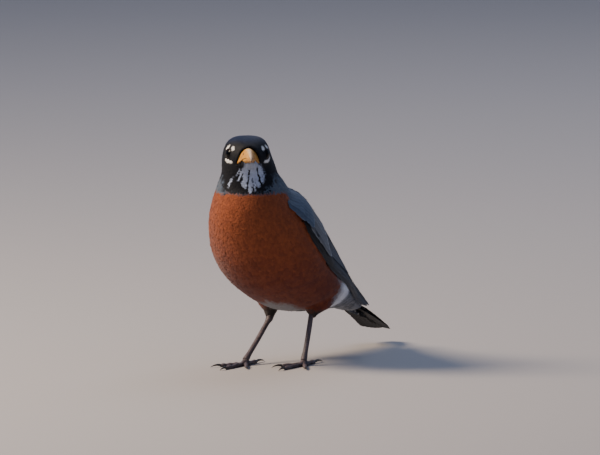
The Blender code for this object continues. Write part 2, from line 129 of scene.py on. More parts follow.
def add(material, kind, inputs=None, stops=None, **settings):
    """Adds a node. inputs: a socket's name or number to a value, or to the output that feeds it. stops: hex
    values along the colour ramp of a node that has one."""
    made = material.node_tree.nodes.new(kind)
    for name, value in settings.items():
        setattr(made, name, value)
    for key, value in (inputs or {}).items():
        if isinstance(value, bpy.types.NodeSocket):
            material.node_tree.links.new(value, made.inputs[key])
        else:
            made.inputs[key].default_value = value
    if stops:
        elements = made.color_ramp.elements
        while len(elements) < len(stops):
            elements.new(0.5)
        for element, (place, tint) in zip(elements, stops.items()):
            element.position, element.color = place, paint(tint)
    return made


def new_material(name, **surface):
    """A material and its shader, with the shader's own sockets set from typical values."""
    material = bpy.data.materials.new(name)
    material.use_nodes = True
    shader = material.node_tree.nodes["Principled BSDF"]
    for socket, value in surface.items():
        shader.inputs[socket.replace("_", " ")].default_value = value
    return material, shader


def feed(material, output, shader, socket="Base Color"):
    material.node_tree.links.new(output, shader.inputs[socket])


# %% [markdown]
# A long lens far away sees the bird almost without perspective, as field glasses do. The camera stands to the
# bird's left of its front and a little above the middle of the body.

# %% Camera
VIEW_AZIMUTH, VIEW_RISE = 30.0, 6.5
VIEW_DISTANCE = 6.0
FRAME_WIDTH_MM = 333.3  # what the frame's width covers at the bird
SENSOR = 36.0
CLIP_END = 50  # metres
AIM = Vector((6.25, 3.61 - 16.45, 75.8)) * MM


def stand(name, data, azimuth, rise, distance):
    """Stands a camera or a lamp at a turn round the bird and a rise, both in degrees, aimed at it."""
    azimuth, rise = math.radians(azimuth), math.radians(rise)
    away = Vector((math.sin(azimuth) * math.cos(rise), -math.cos(azimuth) * math.cos(rise), math.sin(rise)))
    thing = bpy.data.objects.new(name, data)
    thing.location = AIM + away * distance
    thing.rotation_euler = (-away).to_track_quat("-Z", "Y").to_euler()
    bpy.context.scene.collection.objects.link(thing)
    return thing


def place_camera():
    data = bpy.data.cameras.new("camera")
    data.sensor_width = SENSOR
    data.lens = SENSOR * VIEW_DISTANCE / (FRAME_WIDTH_MM * MM)
    data.clip_end = CLIP_END
    bpy.context.scene.camera = stand("camera", data, VIEW_AZIMUTH, VIEW_RISE, VIEW_DISTANCE)
    print("lens", round(data.lens), "mm at", VIEW_DISTANCE, "m")


place_camera()


# %% [markdown]
# The floor is a plain pale sheet. Soft light comes from a large window-like panel on the bird's right front,
# with a weaker one opposite and a little sky from above, so the far side keeps its shape from every view.

# %% Floor and light
FLOOR_HALF, FLOOR_LEVEL = 3000.0, -0.05


def build_floor():
    floor_paint, _ = new_material("matt_floor_paint", Roughness=0.9, Base_Color=paint("#a09c9a"))
    turns = ((-1, -1), (1, -1), (1, 1), (-1, 1))
    corners = [(x * FLOOR_HALF, y * FLOOR_HALF, FLOOR_LEVEL) for x, y in turns]
    floor = array_object("floor", corners, [(0, 1, 2), (0, 2, 3)], floor_paint)


PANELS = {  # turn and rise in degrees, distance and size in metres, watts, colour
    "window_panel": (-50, 40, 1.6, 0.55, 56, "#ffe9cf"),
    "fill_panel": (75, 45, 2.0, 1.6, 2, "#dfe8ff"),
    "back_panel": (190, 50, 2.0, 1.5, 14, "#dfe8ff"),
}
SKY_TINT, SKY_STRENGTH = "#adc6f7", 0.36


def build_light():
    for name, (azimuth, rise, distance, size, power, colour) in PANELS.items():
        data = bpy.data.lights.new(name, "AREA")
        data.size, data.energy, data.color = size, power, linear(colour)
        stand(name, data, azimuth, rise, distance).visible_camera = False
    world = bpy.data.worlds.new("studio")
    world.use_nodes = True
    sky = world.node_tree.nodes["Background"]
    sky.inputs["Color"].default_value = paint(SKY_TINT)
    sky.inputs["Strength"].default_value = SKY_STRENGTH
    bpy.context.scene.world = world


build_floor()
build_light()


# %% [markdown]
# ## The bird's form
# The solids are cut where a person would name the parts. A real bird shows no such cuts, so the flesh pieces
# and the bases of wings and tail are swollen a little, melted into one closed mesh and smoothed. The result
# is the coat's outer form. The feathers' tips will lie on it and the skin will lie inside it.

# %% One closed form over the flesh
SIDES = ("left", "right")
FLESH = ["head", "neck", "trunk", "rump", "eye_left", "eye_right", "tail_left", "tail_right"]
for side in SIDES:
    FLESH += ["thigh_" + side, f"wing_{side}_coverts"]
SWELL = 0.22
VOXEL = 0.9
TAIL_CORE_END = 76.0  # behind this the tail is only feathers
FORM_ROUNDS, SKIN_ROUNDS = 6, 2  # rounds of smoothing
SMOOTH_IN, SMOOTH_OUT = 0.6, 0.62  # each round's step towards the neighbours, and the step back


def wing_nodes(*sides):
    return [f"wing_{side}_{part}" for side in sides for part in ("coverts", "secondaries", "primaries")]


def neighbours_mean(points, edges):
    total = np.zeros_like(points)
    count = np.zeros(len(points))
    for a, b in ((edges[:, 0], edges[:, 1]), (edges[:, 1], edges[:, 0])):
        np.add.at(total, a, points[b])
        np.add.at(count, a, 1)
    return total / count[:, None]


def edges_of(triangles):
    pairs = np.concatenate([triangles[:, [0, 1]], triangles[:, [1, 2]], triangles[:, [2, 0]]])
    return np.unique(np.sort(pairs, axis=1), axis=0)


def smoothed(points, triangles, rounds):
    """Even out the surface, pushing back a little each time so that it doesn't shrink."""
    edges = edges_of(triangles)
    for _ in range(rounds):
        points = points + SMOOTH_IN * (neighbours_mean(points, edges) - points)
        points = points - SMOOTH_OUT * (neighbours_mean(points, edges) - points) * 0.9
    return points


def normals_of(points, triangles):
    a, b, c = (points[triangles[:, i]] for i in range(3))
    faces = np.cross(b - a, c - a)
    normals = np.zeros_like(points)
    for i in range(3):
        np.add.at(normals, triangles[:, i], faces)
    return unit(normals)


def melt(names):
    """One remeshed surface over the named solids, as (points, triangles)."""
    together = bmesh.new()
    for name in names:
        together.from_mesh(NODES[name].data)
    together.normal_update()
    for vertex in together.verts:
        vertex.co += vertex.normal * SWELL * MM
    cut = [*together.verts, *together.edges, *together.faces]
    bmesh.ops.bisect_plane(
        together, geom=cut, plane_co=(0, TAIL_CORE_END * MM, 0), plane_no=(0, 1, 0), clear_outer=True
    )
    bmesh.ops.holes_fill(together, edges=[e for e in together.edges if e.is_boundary])
    mesh = bpy.data.meshes.new("melt")
    together.to_mesh(mesh)
    together.free()
    helper = bpy.data.objects.new("melt", mesh)
    bpy.context.scene.collection.objects.link(helper)
    remesh = helper.modifiers.new("remesh", "REMESH")
    remesh.mode = "VOXEL"
    remesh.voxel_size = VOXEL * MM
    graph = bpy.context.evaluated_depsgraph_get()
    points, triangles = mesh_arrays(helper.evaluated_get(graph).to_mesh())
    bpy.data.objects.remove(helper)
    return points, triangles


class Surface:
    """A closed surface that can be asked for its nearest point."""

    def __init__(self, points, triangles):
        self.points, self.triangles = points, triangles
        self.normals = normals_of(points, triangles)
        self.tree = BVHTree.FromPolygons(points.tolist(), triangles.tolist())

    def nearest(self, places):
        """For each place, the nearest surface point and the smooth normal there."""
        found = np.empty_like(places)
        faces = np.empty(len(places), np.int64)
        for i, place in enumerate(places):
            hit, _, face, _ = self.tree.find_nearest(place)
            found[i], faces[i] = hit, face
        corners = self.triangles[faces]
        a, b, c = (self.points[corners[:, i]] for i in range(3))
        reach = [np.linalg.norm(found - p, axis=1) + 1e-6 for p in (a, b, c)]
        return found, unit(sum(self.normals[corners[:, i]] / reach[i][:, None] for i in range(3)))


SHIN_SLIM = 0.34  # the feathered shins are drawn in by this share towards the leg
SHIN_TOP = (27.0, 31.5)  # over this height the drawing in fades out
SHIN_REACH = 9.5  # and it stops this far from the leg's line
LEG_LINES = {  # foot, ankle and thigh of each leg
    "left": ((14.5, -22.95, 3.0), (14.0, -12.45, 32.6), (17.0, -4.45, 42.0)),
    "right": ((-14.5, -37.45, 3.0), (-14.0, -11.85, 23.6), (-16.5, -6.0, 40.0)),
}


def from_legs(points):
    """(level distance from the nearer leg's line, that line's place at each point's height)."""
    best, places = np.full(len(points), 1e9), np.zeros((len(points), 3))
    for line in LEG_LINES.values():
        knots = np.array(line)
        place = np.stack([np.interp(points[:, 2], knots[:, 2], knots[:, k]) for k in range(3)], 1)
        away = np.linalg.norm((points - place)[:, :2], axis=1)
        nearer = away < best
        best, places = np.where(nearer, away, best), np.where(nearer[:, None], place, places)
    return best, places


form_points, form_triangles = melt(FLESH)
form_points = smoothed(form_points, form_triangles, FORM_ROUNDS)
leg_away, leg_places = from_legs(form_points)
slimmer = SHIN_SLIM * (1 - ramp(*SHIN_TOP, form_points[:, 2])) * (leg_away < SHIN_REACH)
form_points[:, :2] -= (form_points - leg_places)[:, :2] * slimmer[:, None]
FORM = Surface(form_points, form_triangles)
print("form:", len(FORM.points), "points,", len(FORM.triangles), "triangles")


# %% [markdown]
# A bird's feathers all point away from the bill. On the head they fan out from it, and behind the head they
# follow the line of the body to the tail. Two measures are taken from the solids: the head's own frame, from
# the line between the eyes, and the spine, as a list of stations down the middle of the body.

# %% Head frame and spine
HEAD_PITCH = math.radians(6.5)


def middle_of(node):
    low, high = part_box(node)
    return (np.array(low) + np.array(high)) / 2 / MM


LEFT_EYE, RIGHT_EYE = middle_of("eye_left"), middle_of("eye_right")
ASIDE = unit(LEFT_EYE - RIGHT_EYE)
LEVEL_AHEAD = unit(np.cross(ASIDE, (0, 0, 1)))
AHEAD = LEVEL_AHEAD * math.cos(HEAD_PITCH) + np.array((0, 0, 1)) * math.sin(HEAD_PITCH)
UP = np.cross(AHEAD, ASIDE)
EYE_AHEAD, EYE_UP = 3.0, 0.4  # where the eyes lie in the head's frame
HEAD_MIDDLE = (LEFT_EYE + RIGHT_EYE) / 2 - AHEAD * EYE_AHEAD - UP * EYE_UP


def head_point(ahead, aside, up):
    return HEAD_MIDDLE + ahead * AHEAD + aside * ASIDE + up * UP


def in_head(points):
    """Points as (ahead, aside, up) of the head."""
    return (points - HEAD_MIDDLE) @ np.stack([AHEAD, ASIDE, UP], axis=1)


SPINE_STATIONS = np.array([
    (2, -58.5, 119), (0.5, -57.5, 103), (0, -49.5, 85), (0, -34.5, 66), (0, -11.5, 50),
    (0, 18.5, 38), (0, 45.5, 29), (0, 68.5, 18.5), (0, 92.0, 7.4),
])


def fine_spine(count=90):
    share = np.linspace(0, len(SPINE_STATIONS) - 1, count)
    line = np.stack([np.interp(share, range(len(SPINE_STATIONS)), SPINE_STATIONS[:, k]) for k in range(3)], 1)
    for _ in range(12):
        line[1:-1] = line[1:-1] * 0.4 + (line[:-2] + line[2:]) * 0.3
    return line


SPINE = fine_spine()
SPINE_WAY = unit(np.gradient(SPINE, axis=0))
SPINE_REACH = np.concatenate([[0], np.cumsum(np.linalg.norm(np.diff(SPINE, axis=0), axis=1))])
BLUR = 9.0  # how far along the spine a direction is averaged


def along_body(points):
    """(way of the body's line, station reached in millimetres, place on the line) near each point."""
    ways, reaches, places = [], [], []
    for chunk in np.array_split(points, max(len(points) // 4000, 1)):
        away = np.linalg.norm(chunk[:, None] - SPINE[None], axis=2)
        weight = np.exp(-((away - away.min(axis=1, keepdims=True)) / BLUR) * 2)
        weight /= weight.sum(axis=1, keepdims=True)
        ways.append(unit(weight @ SPINE_WAY))
        reaches.append(weight @ SPINE_REACH)
        places.append(weight @ SPINE)
    return np.concatenate(ways), np.concatenate(reaches), np.concatenate(places)


BILL_BASE = head_point(13.0, 0, -1.5)
HEAD_FLOW_TO = (15.0, 34.0)  # the fan from the bill gives way to the body's line over this distance


def dots(first, second):
    """The dot product of each row of first with the same row of second."""
    return np.einsum("ij,ij->i", first, second)


def flattened(ways, normals):
    """Ways turned into the surface that the normals stand on."""
    return unit(ways - normals * dots(ways, normals)[:, None])


def feather_way(points, normals):
    """The direction a feather lies in at each point, along the surface."""
    body, _, _ = along_body(points)
    from_bill = points - BILL_BASE
    share = ramp(*HEAD_FLOW_TO, np.linalg.norm(from_bill, axis=1))[:, None]
    return flattened(unit(from_bill) * (1 - share) + body * share, normals)


print("head middle", HEAD_MIDDLE.round(1), "spine length", round(SPINE_REACH[-1]), "mm")


# %% [markdown]
# ## Plumage
# A male robin in spring: black hood over head and throat, a streaked white chin, broken white rings round the
# eyes, slate back, brick-red breast, pale grey between the legs, a white vent and grey under the tail. The
# pattern is a set of regions with soft edges, measured on the body itself, so the skin and the coat can read
# the same one.

# %% Regions and colours
TINTS = {name: np.array(linear(value)) for name, value in {
    "hood": "#0b0d14", "crown_painted_sky_sheen": "#0e1b38", "slate": "#4a5666", "rump": "#566273",
    "brick": "#8b4827", "brick_deep_and_shade": "#55231a", "white": "#dcdbd8", "undertail_grey_and_shade": "#565c66",
    "vent_white": "#f0f3fa", "chin_white_in_bill_shadow": "#a6b3cc", "neck_grey": "#59606a", "grey_base": "#85858a",
    "tail": "#1b1a1c", "thigh": "#37312f",
}.items()}
EYE_TURN = math.radians(40)  # the eyes look this far forward of straight sideways
EYE_BALL = 4.3
HOOD_EDGE = 100.4  # height of the hood's lower edge on the breast
THIGH_TOP = 31.0  # below this height the coat is on the thighs
BELLY_TOP = 37.0  # below this height the belly between the legs is pale grey
VENT_FROM, VENT_SLANT, VENT_REACH = -41.0, 2.2, 16.0  # where pale begins on the middle line, and its slant
# Millimetres over which one colour gives way to the next: back along the body, by height, and sideways from
# the middle line or from the leg.
BELLY_FROM, WHITE_FROM, UNDERTAIL_FROM, TAIL_FROM = (-42, -34), (-8, 5), (7, 13), (64, 68)
FLANK_RISES, RUMP_FROM = (10, 40), (8, 30)
# The first pair: the brick deepens from the upper height down to the lower one, as painted shade on the lower
# breast and belly.
BRICK_SHADE_HEIGHTS, SHOULDER = (82, 44), (88, 96)
BELLY_SIDE, THIGH_SIDE = (8, 13), (7, 9.5)
SLATE_EDGE = 0.34  # slate begins at this share of the way from the side to the back,
SLATE_REAR, SLATE_SHOULDER = 0.22, 0.24  # and this much sooner behind and at the shoulders
NECK_BACK = -6  # the neck's middle lies this far behind the head's
NECK_GREY, TURNED_GREY = (0.25, 0.72), 0.22  # the sides of the neck are grey, more so on the outer side
SPOT = (7.0, 8.2, 3.5)  # the white spot in front of the eye: ahead, aside and up in the head
SPOT_SHAPE = (0.6, 1.1, 0.75)  # one over its half size in each of those ways


def eye_frame(side):
    """(centre, outward way, forward way, up way) of one eye."""
    sign = 1 if side == "left" else -1
    out = unit(ASIDE * sign * math.cos(EYE_TURN) + AHEAD * math.sin(EYE_TURN) + UP * 0.03)
    front = unit(AHEAD * math.cos(EYE_TURN) - ASIDE * sign * math.sin(EYE_TURN))
    return (LEFT_EYE if side == "left" else RIGHT_EYE), out, front, np.cross(front, out) * -sign


def round_the_eye(points):
    """(distance from the nearer eye's front, forward part, upward part), for marks about the eye."""
    best = np.full(len(points), 1e9)
    front_part, up_part = np.zeros(len(points)), np.zeros(len(points))
    for side in SIDES:
        centre, out, front, up = eye_frame(side)
        up = up if up[2] > 0 else -up
        offset = points - (centre + out * EYE_BALL * 0.75)
        away = np.linalg.norm(offset, axis=1)
        nearer = away < best
        best = np.where(nearer, away, best)
        front_part = np.where(nearer, offset @ front, front_part)
        up_part = np.where(nearer, offset @ up, up_part)
    return best, front_part, up_part


LEFTWARD = np.array((1.0, 0, 0))


def backward_of(ways):
    """The way out of the back, square to each of the body's ways."""
    back = unit(np.cross(LEFTWARD, ways))
    return back * np.sign(back[:, 2:3] + TINY)


def back_share(points):
    """+1 on the middle of the back, -1 on the middle of the breast and belly."""
    way, _, place = along_body(points)
    return dots(unit(points - place), backward_of(way))


OVER_ARC, OVER_REACH = (96, 106, 140, 150), 4.6  # degrees from the front, over the eye, and distance out
UNDER_ARC = (-200, -184, -62, -50)
UNDER_REACH = ((-200, -85, -55), (3.9, 4.2, 5.1))  # the lower arc lies further out towards the bill


def arc(turn, rise, full, falls, ends):
    """1 from full to falls, and 0 outside rise to ends."""
    return ramp(rise, full, turn) * (1 - ramp(falls, ends, turn))


def eye_ring_share(points):
    """How far a point lies in the white crescents over and under the eye."""
    away, front_part, up_part = round_the_eye(points)
    turn = np.degrees(np.arctan2(up_part, front_part))
    over = arc(turn, *OVER_ARC) * (1 - ramp(0.8, 1.2, np.abs(away - OVER_REACH)))
    turn = np.where(turn > 120, turn - 360, turn)
    under = arc(turn, *UNDER_ARC) * (1 - ramp(0.6, 1.0, np.abs(away - np.interp(turn, *UNDER_REACH))))
    return np.maximum(over, under)


CHIN_DROP = (2.5, 6.0, 9.0, 12.5, 16.0, 20.5)  # millimetres below the head's middle
CHIN_HALF = (3.4, 5.2, 7.0, 8.4, 6.0, 1.0)  # half width of the streaked fan there
CHIN_SHIFT = 1.7  # the fan hangs a little to the bird's left
CHIN_FLOOR = ((5.0, 7.0, 11.0, 19.0), (-1.3, -0.95, -0.5, -0.15))  # streaks thin out below: drop, and level
WISP = (9.6, 15.0)  # a loose white wisp beside the fan: this far to the bird's right, and this far down


def chin_share(ahead, aside, up, chance):
    """White streaks that fan out under the bill and run together into a point on the black throat."""
    drop = -up
    across = aside - CHIN_SHIFT
    fan = np.arctan2(across, drop + 3.0)
    streak = 0.5 * np.cos(33 * fan + 0.5) + 0.5 * np.cos(52 * fan + 1.9) + (chance - 0.5) * 0.2
    floor = np.interp(drop, *CHIN_FLOOR)
    floor = floor + 0.07 * np.maximum(np.abs(across) - 1.5, 0)
    inside = 1 - ramp(-0.7, 0.7, np.abs(across) - np.interp(drop, CHIN_DROP, CHIN_HALF))
    low = (drop > 2.5) * (drop < 21.0) * ramp(-4, 0, ahead)
    wisp_up = up + WISP[1]
    wisp = 1 - ramp(0.25, 0.65, np.abs(aside + WISP[0] - 0.4 * wisp_up))
    wisp = wisp * (1 - ramp(2.0, 3.0, np.abs(wisp_up))) * ramp(-4, 0, ahead)
    return np.maximum(inside * ramp(floor - 0.15, floor + 0.15, streak), wisp) * low


def plumage(points, chance):
    """Linear colours for points. chance is one random number per point, the same all over one feather."""
    ahead, aside, up = in_head(points).T
    middle_away, along, height = np.abs(points[:, 0]), points[:, 1], points[:, 2]
    over = back_share(points)
    wander = (chance - 0.5) * 3.0  # millimetres that an edge strays by
    colour = np.repeat(TINTS["brick"][None], len(points), 0)

    def lay(name, share):
        nonlocal colour
        share = np.clip(share, 0, 1)[:, None]
        colour = colour * (1 - share) + TINTS[name] * share

    # Breast, belly and under the tail
    # Deeper brick on some feathers at random, a real tone, and deeper towards the bottom as painted shade.
    lay("brick_deep_and_shade", 0.3 * ramp(0.2, 1.0, chance) + 0.6 * ramp(*BRICK_SHADE_HEIGHTS, height))
    vent_line = VENT_FROM + VENT_SLANT * np.minimum(middle_away, VENT_REACH)
    vent = ramp(-3, 3, along + wander * 1.5 - vent_line)
    belly = ramp(BELLY_TOP, BELLY_TOP - 3.0, height + wander * 0.5) * (1 - ramp(*BELLY_SIDE, middle_away))
    lay("grey_base", np.maximum(vent, belly * ramp(*BELLY_FROM, along)))
    lay("vent_white", vent * ramp(*WHITE_FROM, along))
    # Grey under the tail: partly its real grey, and partly painted shade from the folded wing, which darkens
    # the tint.
    lay("undertail_grey_and_shade", ramp(*UNDERTAIL_FROM, along) * (0.8 + 0.2 * ramp(0.3, 0.7, chance)))
    leg_away, _ = from_legs(points)
    lay("thigh", ramp(-0.5, 2.0, THIGH_TOP - height + wander * 0.4) * (1 - ramp(*THIGH_SIDE, leg_away)))

    # Back, rump and tail
    slate_edge = SLATE_EDGE - SLATE_REAR * ramp(*FLANK_RISES, along)
    slate_edge = slate_edge - SLATE_SHOULDER * ramp(*SHOULDER, height)
    lay("slate", ramp(-0.06, 0.06, over + wander * 0.01 - slate_edge))
    lay("rump", ramp(0.3, 0.5, over) * ramp(*RUMP_FROM, along))
    lay("tail", ramp(*TAIL_FROM, along))

    # Neck and hood
    neck_place = points - head_point(NECK_BACK, 0, 0)
    facing = (neck_place @ LEVEL_AHEAD) / np.maximum(np.linalg.norm(neck_place[:, :2], axis=1), 1)
    above_breast = ramp(-0.9, 0.9, height + wander * 0.35 - HOOD_EDGE)
    lay("slate", above_breast * (along < 0))
    outer = ramp(-4, 4, neck_place @ ASIDE)  # the side that the head is turned to shows more of the grey
    neck_side = 1 - ramp(*NECK_GREY, facing + wander * 0.04 - TURNED_GREY * outer)
    lay("neck_grey", above_breast * neck_side * (facing > -0.3) * ramp(0.2, 0.8, chance))
    hood_edge = HOOD_EDGE + 8.0 * neck_side + 5.0 * (1 - ramp(-1.0, -0.3, facing))
    soft = 1.6 + neck_side
    lay("hood", ramp(-soft, soft, height + wander * (0.8 + neck_side) - hood_edge) * above_breast)
    # Painted reflection of the sky: the top of the crown is tinted lighter and bluer.
    lay("crown_painted_sky_sheen", 0.8 * ramp(5, 9, up) * ramp(-14, -4, ahead))

    # White marks
    # The chin's white streaks are painted darker and bluer than the white marks: painted shade under the
    # bill.
    lay("chin_white_in_bill_shadow", chin_share(ahead, aside, up, chance))
    lay("white", eye_ring_share(points))
    spot = (np.stack([ahead, np.abs(aside), up], 1) - SPOT) * SPOT_SHAPE
    lay("white", 1 - ramp(0.8, 1.2, np.linalg.norm(spot, axis=1)))
    return colour


THIN_COAT = 0.45  # the coat's least depth, round the bill and on the shins


def coat_depth(points):
    """How thick the feathers lie over the skin, in millimetres."""
    from_bill = np.linalg.norm(points - BILL_BASE, axis=1)
    depth = THIN_COAT + 0.35 * ramp(6, 18, from_bill) + 0.8 * ramp(22, 46, from_bill)
    leg_away, _ = from_legs(points)
    depth -= 0.75 * (1 - ramp(29, 33, points[:, 2])) * (1 - ramp(7, 10, leg_away))
    return np.maximum(depth, THIN_COAT)


# %% [markdown]
# ## Skin and feet
# The skin is the form, drawn in by the coat's depth. A robin's shank is nearly smooth in front, and its toes
# carry one row of small plates on top and soft pads below. They are lofts: rings whose radius and flatness
# are worked out along each leg and toe. Plates and pads are real shape, and only the finest scales are bump.

# %% Legs and toes as lofts
FEET = {side: line[0][:2] for side, line in LEG_LINES.items()}
FOOT_JOINT = LEG_LINES["left"][0][2]  # height of the joint where the toes meet
TOES = {  # turn from straight ahead, length, radius, claw length, bones
    "hallux": (180.0, 12.5, 1.22, 8.6, 2),
    "inner": (-33.0, 14.0, 1.12, 6.1, 2),
    "middle": (0.0, 21.5, 1.18, 6.7, 3),
    "outer": (34.0, 15.5, 1.12, 6.1, 4),
}
AROUND = 20
TURN = np.linspace(0, 2 * np.pi, AROUND, endpoint=False)
SHANK_RINGS, TOE_RINGS, CLAW_RINGS = 70, 64, 40
SHANK_RADIUS, ANKLE_SWELL, FOOT_SWELL = 1.48, 0.65, 0.4
SHANK_UP_IN_THIGH = 0.22  # the share of its length that the shank goes on, inside the thigh's feathers
SHANK_PLATES, TOE_PLATE = 7 * 3.2, 1.35  # plates down the shank, and the length of a toe's plates


def loft(rings):
    """(points, triangles) of a closed tube through equal rings."""
    count, around = len(rings), len(rings[0])
    points = np.concatenate(rings)
    i, j = np.meshgrid(range(count - 1), range(around), indexing="ij")
    a, b = (i * around + j).ravel(), (i * around + (j + 1) % around).ravel()
    triangles = [np.stack([a, b, b + around], 1), np.stack([a, b + around, a + around], 1)]
    for first, flip in ((0, True), ((count - 1) * around, False)):
        points = np.concatenate([points, [points[first : first + around].mean(axis=0)]])
        ring = np.arange(around)
        ends = [first + ring, first + (ring + 1) % around, np.full(around, len(points) - 1)]
        triangles.append(np.stack(ends[::-1] if flip else ends, 1))
    return points, np.concatenate(triangles)


def tube_rings(line, radii, wide, up=(0, 0, 1), shape=lambda k: np.ones(AROUND)):
    """Rings along a line. wide stretches them sideways; shape gives a ring's radius round it, as a share."""
    rings = []
    for k, (place, way, radius) in enumerate(zip(line, unit(np.gradient(line, axis=0)), radii)):
        side = unit(np.cross(way, up))
        reach = radius * shape(k)
        sideways, upwards = reach * np.cos(TURN) * wide, reach * np.sin(TURN)
        rings.append(place + np.outer(sideways, side) + np.outer(upwards, np.cross(side, way)))
    return rings


def shank(side):
    foot, ankle = np.array(LEG_LINES[side][:2])
    s = np.linspace(-SHANK_UP_IN_THIGH, 1.0, SHANK_RINGS)
    line = ankle + (foot - ankle) * s[:, None]
    line[:, 1] += 0.5 * np.sin(np.pi * np.clip(s, 0, 1))
    radii = SHANK_RADIUS + ANKLE_SWELL * np.exp(-((s / 0.07) ** 2))
    radii += FOOT_SWELL * np.exp(-(((s - 0.97) / 0.09) ** 2))
    radii += 0.3 * (1 - ramp(-SHANK_UP_IN_THIGH, 0.0, s))
    low = ramp(0.6, 0.75, s)

    def shape(k):
        front, back = np.clip(np.sin(TURN), 0, 1), np.clip(-np.sin(TURN), 0, 1)
        step = (s[k] * SHANK_PLATES) % 1
        return 1 + 0.035 * front * low[k] * (1 - step) - 0.05 * back

    return loft(tube_rings(line, radii, 0.96, (0, -1, 0), shape))


def toe_way(side, turn):
    angle = math.radians(turn) * (1 if side == "left" else -1)
    return np.array((math.sin(angle), -math.cos(angle), 0.0))


def on_the_floor(points, triangles):
    """Points that would be under the floor are pressed flat on it."""
    points[:, 2] = np.maximum(points[:, 2], 0.0)
    return points, triangles


def toe(side, name):
    turn, length, radius, _, bones = TOES[name]
    s = np.linspace(0, 1, TOE_RINGS)
    pads = 0.5 - 0.5 * np.cos(2 * np.pi * s * bones)
    radii = radius * (0.86 - 0.10 * s + 0.20 * pads) * np.sqrt(np.clip(1 - (s - 0.93) / 0.075, 0.05, 1))
    height = radii * 0.84 + 0.25 * np.sin(np.pi * np.clip(s, 0, 1)) * (1 - pads) * 0.5
    height += (FOOT_JOINT - 1.2) * (1 - ramp(0.0, 0.17, s))
    line = np.array((*FEET[side], 0.0)) + np.outer(s * length, toe_way(side, turn))
    line[:, 2] = height

    def shape(k):
        step = (s[k] * (length / TOE_PLATE)) % 1
        return 1 + 0.05 * np.clip(np.sin(TURN), 0, 1) * (1 - step)

    return on_the_floor(*loft(tube_rings(line, radii, 1.05, shape=shape)))


PALM = ((0.0, 2.3), (0.35, 2.7), (1.1, 2.75), (2.0, 2.3), (2.9, 1.75), (3.6, 1.45))  # heights and radii


def palm(side):
    x, y = FEET[side]
    circle = np.stack([np.cos(TURN), np.sin(TURN), 0 * TURN], 1)
    return loft([circle * radius + (x, y, height) for height, radius in PALM])


def joined(parts):
    points, triangles, base = [], [], 0
    for p, t in parts:
        points.append(p)
        triangles.append(np.asarray(t) + base)
        base += len(p)
    return np.concatenate(points), np.concatenate(triangles)


LEG_PARTS = []
for side in SIDES:
    LEG_PARTS += [shank(side), palm(side)] + [toe(side, name) for name in TOES]
LEGS = joined(LEG_PARTS)
print("legs:", len(LEGS[1]), "triangles")


# %% [markdown]
# One skin object carries both: the drawn-in form and the bare legs, which run up inside the thigh feathers,
# so no join shows. It has two finishes, the thin skin under the coat, tinted like the plumage over it, and
# the horny leg scales.

# %% Finishes of skin and legs
def skin_finish():
    """Thin dry skin under the coat. It only shows in gaps between feathers: the plumage tint with painted
    shade.
    """
    material, shader = new_material("skin_under_feathers", Roughness=0.85)
    tint = add(material, "ShaderNodeAttribute", attribute_name="plumage")
    # The plumage tint is darkened by about a third: painted shade in the gaps between feathers.
    shades = {0: 0.35, 6: tint.outputs["Color"], 7: (0.05, 0.04, 0.04, 1)}
    shade = add(material, "ShaderNodeMix", shades, data_type="RGBA", blend_type="MULTIPLY")
    feed(material, shade.outputs[2], shader)
    grain = add(material, "ShaderNodeTexNoise", {"Scale": 900.0, "Detail": 3.0})
    pores = {"Height": grain.outputs["Fac"], "Distance": 0.0001, "Strength": 0.5}
    feed(material, add(material, "ShaderNodeBump", pores).outputs["Normal"], shader, "Normal")
    return material


def leg_finish():
    """Horny scales, as on any perching bird's leg: dull brown with a slight waxy shine."""
    material, shader = new_material("horny_leg_scales", Roughness=0.48, IOR=1.54)
    place = add(material, "ShaderNodeTexCoord").outputs["Object"]
    scales = {"Vector": place, "Scale": 1400.0}
    cells = add(material, "ShaderNodeTexVoronoi", scales, feature="DISTANCE_TO_EDGE")
    cloud = add(material, "ShaderNodeTexNoise", {"Vector": place, "Scale": 260.0, "Detail": 4.0})
    browns = {0.3: "#352c30", 0.72: "#6b5d62"}
    horn = add(material, "ShaderNodeValToRGB", {"Fac": cloud.outputs["Fac"]}, browns)
    seam = add(material, "ShaderNodeMapRange", {"Value": cells.outputs["Distance"], "From Max": 0.12})
    shades = {0: seam.outputs[0], 6: paint("#2c2322"), 7: horn.outputs["Color"]}
    feed(material, add(material, "ShaderNodeMix", shades, data_type="RGBA").outputs[2], shader)
    edges = {"Height": seam.outputs[0], "Distance": 0.00008, "Strength": 0.6}
    feed(material, add(material, "ShaderNodeBump", edges).outputs["Normal"], shader, "Normal")
    return material


# %% Build the skin
TAIL_ROOT, TAIL_TIP = np.array((0.0, 52.55, 26.2)), np.array((0.0, 92.05, 7.4))
ON_TAIL = (49, 55)  # over this stretch the skin flattens into a core for the tail
CORE_WIDE, CORE_FLAT = 0.6, 0.9  # how wide that core is, and how flat, as shares


